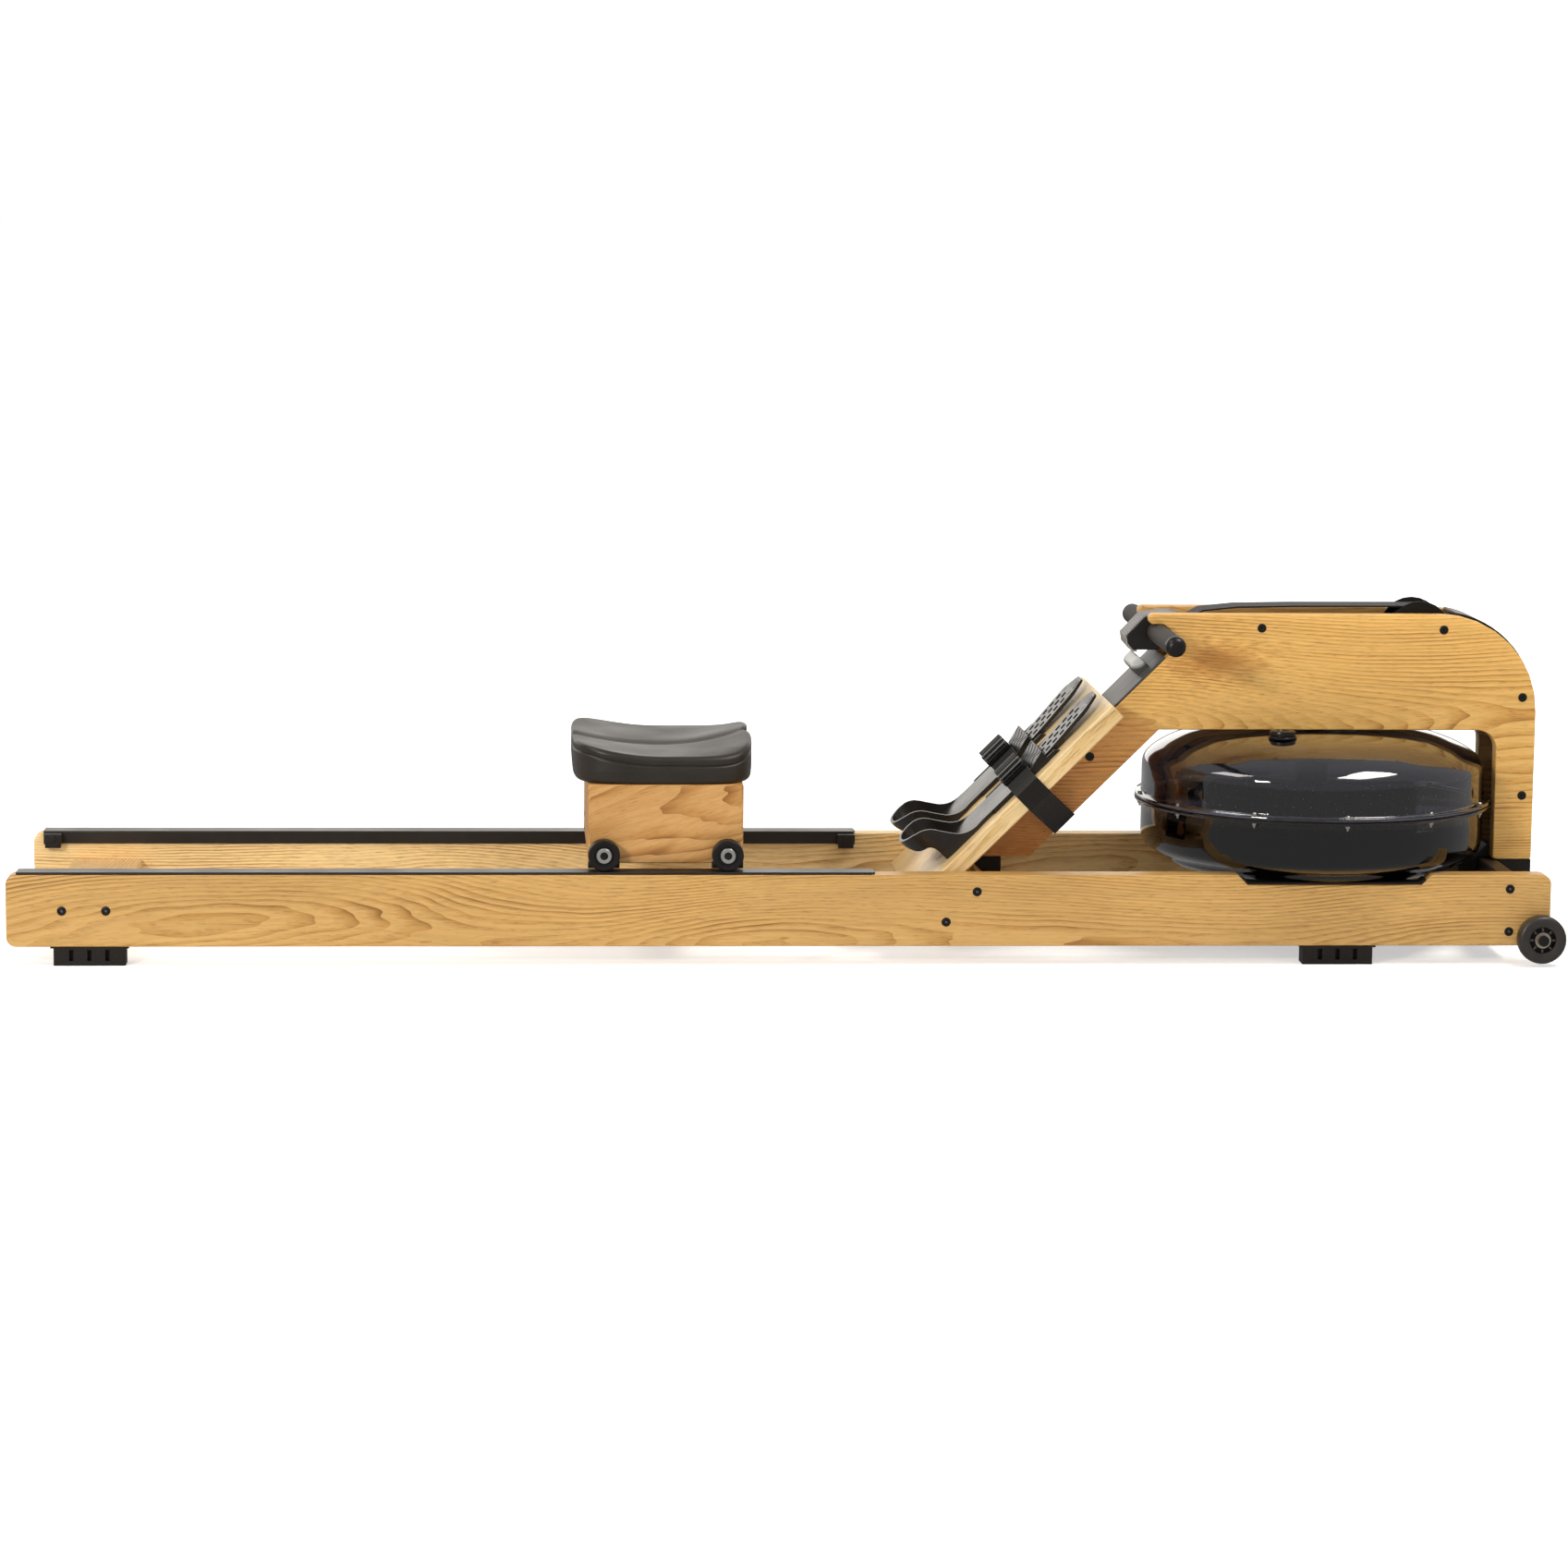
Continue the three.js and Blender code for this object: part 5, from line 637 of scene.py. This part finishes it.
# past x 0.53 the grey webbing is painted near black: painted shade on the strap where it lies along the
# deck
pull_deck_shade = put(pull_tree, "MapRange", {"Value": pull_along.outputs["X"],
                                        "From Min": 0.53, "From Max": 0.56})
pull_tone = put(pull_tree, "Mix", {0: pull_deck_shade, 6: pull_face.links[0].from_socket, 7: linear("#191716")},
                data_type="RGBA")
pull_tree.links.new(pull_tone.outputs[2], pull_face)
pull = softened("pull_strap", pull_grey, None, crease=50)
pull.modifiers.clear()
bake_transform(pull)
drum_black = moulded_black("moulded_drum_nylon", "#1d1b1a", 0.4, 2.0, 0.00006)
softened("deck_pulley", drum_black, "pulley_body", edge_mm=0.8)
softened("strap_drum", drum_black, "drum_body", edge_mm=0.6)
for node in ("front_roller", "cord_roller"):
    softened(node, drum_black, "frame", edge_mm=0.6)
softened("pulley_axle", rod_steel, "frame", edge_mm=0.4)
cord_black = webbing("braided_recoil_cord", "#141414", 0.0, 2.0, 0.7)
softened("recoil_cord", cord_black, "frame", crease=60)


# Tank: two smoked polycarbonate shells clamped at a flange by twelve bright screws, on rubber liners.
# Inside are the water, the vaned paddle and its steel shaft.
def smoked(name, colour, rough, coat):
    # vacuum-formed polycarbonate tinted grey-brown: clear gloss, a slight ripple and a hard scratch coat
    material, tree, shader, where = new_material(name)
    ripple = put(tree, "TexNoise", {"Vector": where, "Scale": 9.0, "Detail": 1.0})
    bump = put(tree, "Bump", {"Height": ripple.outputs["Fac"], "Strength": 0.2, "Distance": 0.002})
    tree.links.new(bump.outputs[0], shader.inputs["Normal"])
    haze = put(tree, "TexNoise", {"Vector": where, "Scale": 30.0, "Detail": 4.0})
    gloss = put(tree, "MapRange", {"Value": haze.outputs["Fac"], "To Min": rough, "To Max": rough + 0.03})
    tree.links.new(gloss.outputs[0], shader.inputs["Roughness"])
    shader.inputs["Base Color"].default_value = linear(colour)
    shader.inputs["Transmission Weight"].default_value = 1.0
    shader.inputs["IOR"].default_value = 1.58
    shader.inputs["Coat Weight"].default_value = coat
    shader.inputs["Coat Roughness"].default_value = 0.02
    return material


def eased(points, cuts=4):
    # a smooth line through the corner points of a formed wall
    line = []
    for i in range(len(points) - 1):
        p0, p1, p2, p3 = (Vector(points[max(0, min(len(points) - 1, i + k))]) for k in (-1, 0, 1, 2))
        for k in range(cuts):
            t = k / cuts
            line.append(0.5 * (2 * p1 + (p2 - p0) * t + (2 * p0 - 5 * p1 + 4 * p2 - p3) * t * t
                               + (3 * p1 - p0 - 3 * p2 + p3) * t ** 3))
    return [(p.x, p.y) for p in line] + [points[-1]]


def inside_of(line, wall):
    # the same line moved inwards by the wall
    moved = []
    for i, point in enumerate(line):
        along = Vector(line[min(i + 1, len(line) - 1)]) - Vector(line[max(i - 1, 0)])
        away = Vector((-along.y, along.x)).normalized()
        moved.append((max(0.0, point[0] + away.x * wall), point[1] + away.y * wall))
    return moved


tank_centre = (0.74175, 0, 0)
tank_x = tank_centre[0]
upper_smoke = smoked("smoked_polycarbonate_dome", "#797983", 0.01, 0.9)
lower_smoke = smoked("smoked_polycarbonate_bowl", "#5c5450", 0.02, 0.4)
dome_line = [(239, 211), (239, 229)] + eased([
    (239, 247.1), (237.8, 255.1), (234.9, 261.1), (229.9, 266.6), (223.9, 271.6), (213.9, 277.9),
    (204.1, 283.1), (190, 288.6), (169.9, 294.6), (140.1, 299.1), (99.9, 302.1), (60, 303.6),
    (26, 304.1)]) + [(9, 304.1)]
dome_flange = [(248.5, 204.4), (248.5, 207.8), (247.7, 208.6), (240.4, 208.8), (239.3, 209.6)]
dome_inside = [(235, 204.4)] + inside_of(dome_line, 4)
dome = turned("tank_dome", dome_flange + dome_line + dome_inside[::-1], tank_centre, "z", upper_smoke,
              "frame", steps=160, crease=50)
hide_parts("tank_upper_shell")
bowl_wall = eased([(239, 151.5), (235, 138.5), (226, 130.5), (211, 124.9), (206, 118), (200, 113.6)])
bowl_floor = eased([(166, 113.6), (160, 105.5), (150.1, 101.5), (90, 100.7)])
bowl_line = [(239, 196), (239, 172)] + bowl_wall + [(183, 113.6)] + bowl_floor + [(0, 100.5)]
bowl_flange = [(248.5, 202.2), (248.5, 198.8), (247.7, 198), (240.4, 197.8), (239.3, 197)]
bowl_inside = inside_of(bowl_line, -4)[::-1] + [(235, 202.2)]
bowl = turned("tank_bowl", bowl_flange + bowl_line + bowl_inside, tank_centre, "z", lower_smoke, "frame",
              steps=160, crease=50)
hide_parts("tank_lower_shell")
softened("tank_gasket", foot_rubber, "frame")

# Four upright baffles stand inside the wall and keep the water from turning with the paddle.
baffle_bm = bmesh.new()
baffles, baffle_level, baffle_reach, baffle_size = 4, 0.1727, 0.2195, (0.029, 0.004, 0.039)
for i in range(baffles):
    place = Matrix.Translation((tank_x, 0, baffle_level))
    place = place @ Matrix.Rotation(math.pi / 4 + i * 2 * math.pi / baffles, 4, "Z")
    block(baffle_bm, place @ Matrix.Translation((baffle_reach, 0, 0)), baffle_size)
ease_edges(baffle_bm, 0.0008)
vane_black = moulded_black("moulded_paddle_nylon", "#16120f", 0.3, 3.0, 0.00006)
finished(baffle_bm, "tank_baffles", vane_black, "frame", 35)

# Water in the shade of the smoked bowl: dark and clear, with a faint ripple on its surface.
water_clear, water_tree, water_shader, water_where = new_material("tank_water")
water_wave = put(water_tree, "TexNoise", {"Vector": water_where, "Scale": 12.0, "Detail": 2.0})
water_bump = put(water_tree, "Bump", {"Height": water_wave.outputs["Fac"],
                                      "Strength": 0.3, "Distance": 0.003})
water_tree.links.new(water_bump.outputs[0], water_shader.inputs["Normal"])
water_shader.inputs["Base Color"].default_value = linear("#25221e")
water_shader.inputs["Roughness"].default_value = 0.04
water_shader.inputs["Transmission Weight"].default_value = 0.85
water_shader.inputs["IOR"].default_value = 1.33
water_top, water_reach = 184, 233.6
water_line = [p for p in inside_of(bowl_line, -5.4) if p[1] < water_top - 4]
turned("tank_water", [(0, water_top), (water_reach, water_top)] + water_line, tank_centre, "z", water_clear,
       "frame", steps=96, crease=40)

# Drops thrown up by the paddle cling to the inside of the wall and catch the light as pale dots.
drop_bm = bmesh.new()
drops, drop_wall, drop_foot, drop_climb = 320, 0.2346, 0.187, 0.066
for i in range(drops):
    # three irrational steps scatter the drops evenly round the near side, in height and in size
    spot, climb, swell = (i * 0.6180339887) % 1.0, (i * 0.7548776662) % 1.0, (i * 0.5698402910) % 1.0
    angle = -math.pi / 2 + (spot - 0.5) * 2.6
    level = drop_foot + drop_climb * climb ** 1.3
    size = 0.0005 + 0.0006 * swell ** 3
    place = (tank_x + drop_wall * math.cos(angle), drop_wall * math.sin(angle), level)
    bmesh.ops.create_icosphere(drop_bm, subdivisions=1, radius=size, matrix=Matrix.Translation(place))
# the drops are drawn opaque pale grey, a painted highlight for the light they catch
drop_white = moulded_black("clinging_water_drops", "#c9c9c6", 0.2, 2.0, 0.00001, 0.5)
finished(drop_bm, "tank_drops", drop_white, "frame", 60)

# Zinc-plated screws and nuts round the flange give small bright points.
bolt_bright = metal("zinc_plated_flange_screw", "#d0cdc8", 0.22, lines_mm=0.6)
bolt_head = [(0, 208.6), (3.8, 208.6), (3.8, 209.3), (3.1, 209.4), (3.1, 211.6), (2.6, 212.1), (0, 212.3)]
bolt_nut = [(0, 191.2), (1.4, 191.4), (1.5, 194.6), (3.1, 194.8), (3.2, 197.2), (3.8, 197.3), (3.8, 198),
            (0, 198)]
bolt_bm = bmesh.new()
bolts, bolt_circle, bolt_turn = 12, 0.244, 0.027
for i in range(bolts):
    angle = bolt_turn + i * 2 * math.pi / bolts
    place = Matrix.Translation((tank_x + bolt_circle * math.cos(angle), bolt_circle * math.sin(angle), 0))
    spun(bolt_bm, bolt_head, 14, place)
    spun(bolt_bm, bolt_nut, 14, place)
finished(bolt_bm, "flange_screws", bolt_bright, "frame", 35)

softened("paddle", vane_black, "paddle_body", edge_mm=0.6)
softened("drive_shaft", rod_steel, "paddle_body", edge_mm=0.4)
plug_black = moulded_black("moulded_plug", "#1a1817", 0.3, 2.0, 0.00005, 0.4)
plug_line = [(0, 291.1), (11, 291.1), (11, 300.6), (19.5, 300.6), (19.5, 302.6), (19.1, 303.1),
             (17.6, 303.2), (18, 304.2), (18, 308.6), (17.3, 310.6), (15.5, 311.4), (9, 311.4), (8, 310.2),
             (0, 310.2)]
plug_place = (tank_x - 0.062, -0.110, 0)
plug = turned("filler_plug", plug_line, plug_place, "z", plug_black, "frame", steps=48)
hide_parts("fill_plug")
for side in ("right", "left"):
    softened("tank_liner_" + side, foot_rubber, "frame", edge_mm=0.5)


# Seat: an oak box on two steel axles, with nylon rollers running on the tracks.
# Each roller turns on a bright ring bearing and is held by a black socket screw.
# A short nylon guard stands behind the foot of each roller.
seat_oak = oak("oiled_oak_seat_box", (2.2, 0.22, -0.24), "#d5a261", "#c68f4b", "#995f26", turn=0.3,
               rings_mm=6.0)
softened("seat_block", seat_oak, "seat", crease=50)
roller_black = moulded_black("moulded_roller_nylon", "#1b1817", 0.42, 1.8, 0.00006, 0.3)
roller_places = {"rear": -0.25625, "front": -0.08825}
roller_y, roller_z = 0.184, 0.149
washer_line = [(5.4, 11.3), (9.7, 11.3), (10.0, 11.6), (9.8, 11.9), (5.7, 11.9), (5.4, 11.6)]
roller_line = both_faces([(10.4, -8.0), (13, -8.4), (14, -9.6), (19.6, -10), (21.1, -9), (21.5, -7.4)])
ring_line = both_faces([(5.3, -9.4), (9.6, -9.6), (10.2, -9.0), (10.4, -7.6)])
washer_bm = bmesh.new()
for end, x in roller_places.items():
    softened("seat_axle_" + end, screw_black, "seat", edge_mm=0.4)
    for side, sign in (("right", -1), ("left", 1)):
        node = f"seat_roller_{end}_{side}"
        body = node + "_body"
        middle = (x, sign * roller_y, roller_z)
        spun(washer_bm, washer_line, 48, screw_seat(x, roller_z, roller_y, sign))
        tyre = turned(f"seat_tyre_{end}_{side}", roller_line, middle, "y", roller_black, body,
                      steps=72)
        turned(f"seat_bearing_{end}_{side}", ring_line, middle, "y", bearing_steel, body,
               steps=48)
        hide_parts(node)
finished(washer_bm, "axle_washers", bearing_steel, "seat", 35)
seat_face = max(v.co.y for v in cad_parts["seat_block"].data.vertices)
guard_z, guard_size = 0.1336, (0.043, 0.0024, 0.0095)
guard_bm = bmesh.new()
for x in roller_places.values():
    for sign in (-1, 1):
        place = Matrix.Translation((x, sign * (seat_face + guard_size[1] / 2), guard_z))
        block(guard_bm, place, guard_size)
ease_edges(guard_bm, 0.0005)
finished(guard_bm, "track_guards", roller_black, "seat", 35)


# Seat pad: a dished shell of black moulded foam with a raised rear rim, arched front and middle channel.
# It is one closed padded body over the oak box, its skin a fine matt pebble.
pad_skin = moulded_black("self_skinning_polyurethane_foam", "#2b2620", 0.42, 2.4, 0.0001, 0.5)
pad_bm = bmesh.new()
bmesh.ops.create_cube(pad_bm, size=2.0)
bmesh.ops.subdivide_edges(pad_bm, edges=pad_bm.edges[:], cuts=47, use_grid_fill=True)
pad_x, pad_low, pad_long, pad_wide = -0.17475, 0.2433, 0.1235, 0.171
# Heights and widths on top of the pad, in millimetres.
plain_top, dish, edge_round = 38, 3, 6
front_rim, front_arch, corner_drop = 20, 14, 7
rear_rim, rear_horns = 13, 9
channel_deep, channel_wide, notch_wide = 5, 13, 26
lip_below, lip_wide = 7, 1.3
for vert in pad_bm.verts:
    # the cube's square rings become rounded rectangles, u towards the front and v across
    u, v, w = vert.co
    reach = max(abs(u), abs(v))
    share = math.sin(reach * math.pi / 2)
    square = (abs(u) ** 5 + abs(v) ** 5 + 1e-9) ** (-1 / 5) * share
    u, v = u * square, v * square
    across = v * pad_wide * 1000
    if u > 0:
        rim = front_rim - front_arch * v * v - corner_drop * max(0.0, (abs(v) - 0.7) / 0.3) ** 1.5
    else:
        rim = rear_rim + rear_horns * v * v
    channel = channel_deep * math.exp(-((across / channel_wide) ** 2))
    top = plain_top + rim * u * u - dish * (1 - u * u) * (1 - v * v) - channel
    into_edge = min(1.0, (1 - share) * pad_long * 1000 / edge_round)
    top -= edge_round * (1 - math.sqrt(max(0.0, 1 - (1 - into_edge) ** 2)))
    level = (w + 1) / 2 * top
    # the flank swells upwards to a thin lip line, and the front has a notch in its middle
    flank = 0.968 + 0.022 * math.sqrt(min(1.0, level / 5)) + 0.01 * min(1.0, level / 17)
    lip = 0.0017 * math.exp(-((top - level - lip_below) / lip_wide) ** 2) if reach > 0.999 else 0
    notch = 0.009 * u ** 6 * math.exp(-((across / notch_wide) ** 2)) if u > 0 else 0
    vert.co = (pad_x + u * (pad_long * flank - lip) - notch, v * (pad_wide * flank - lip),
               pad_low + level / 1000)
bmesh.ops.remove_doubles(pad_bm, verts=pad_bm.verts, dist=1e-5)
bmesh.ops.recalc_face_normals(pad_bm, faces=pad_bm.faces)
pad = finished(pad_bm, "seat_cushion", pad_skin, "seat", 80)
pad_smooth = pad.modifiers.new("smooth_skin", "SUBSURF")
pad_smooth.levels = pad_smooth.render_levels = 1
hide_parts("seat_pad")
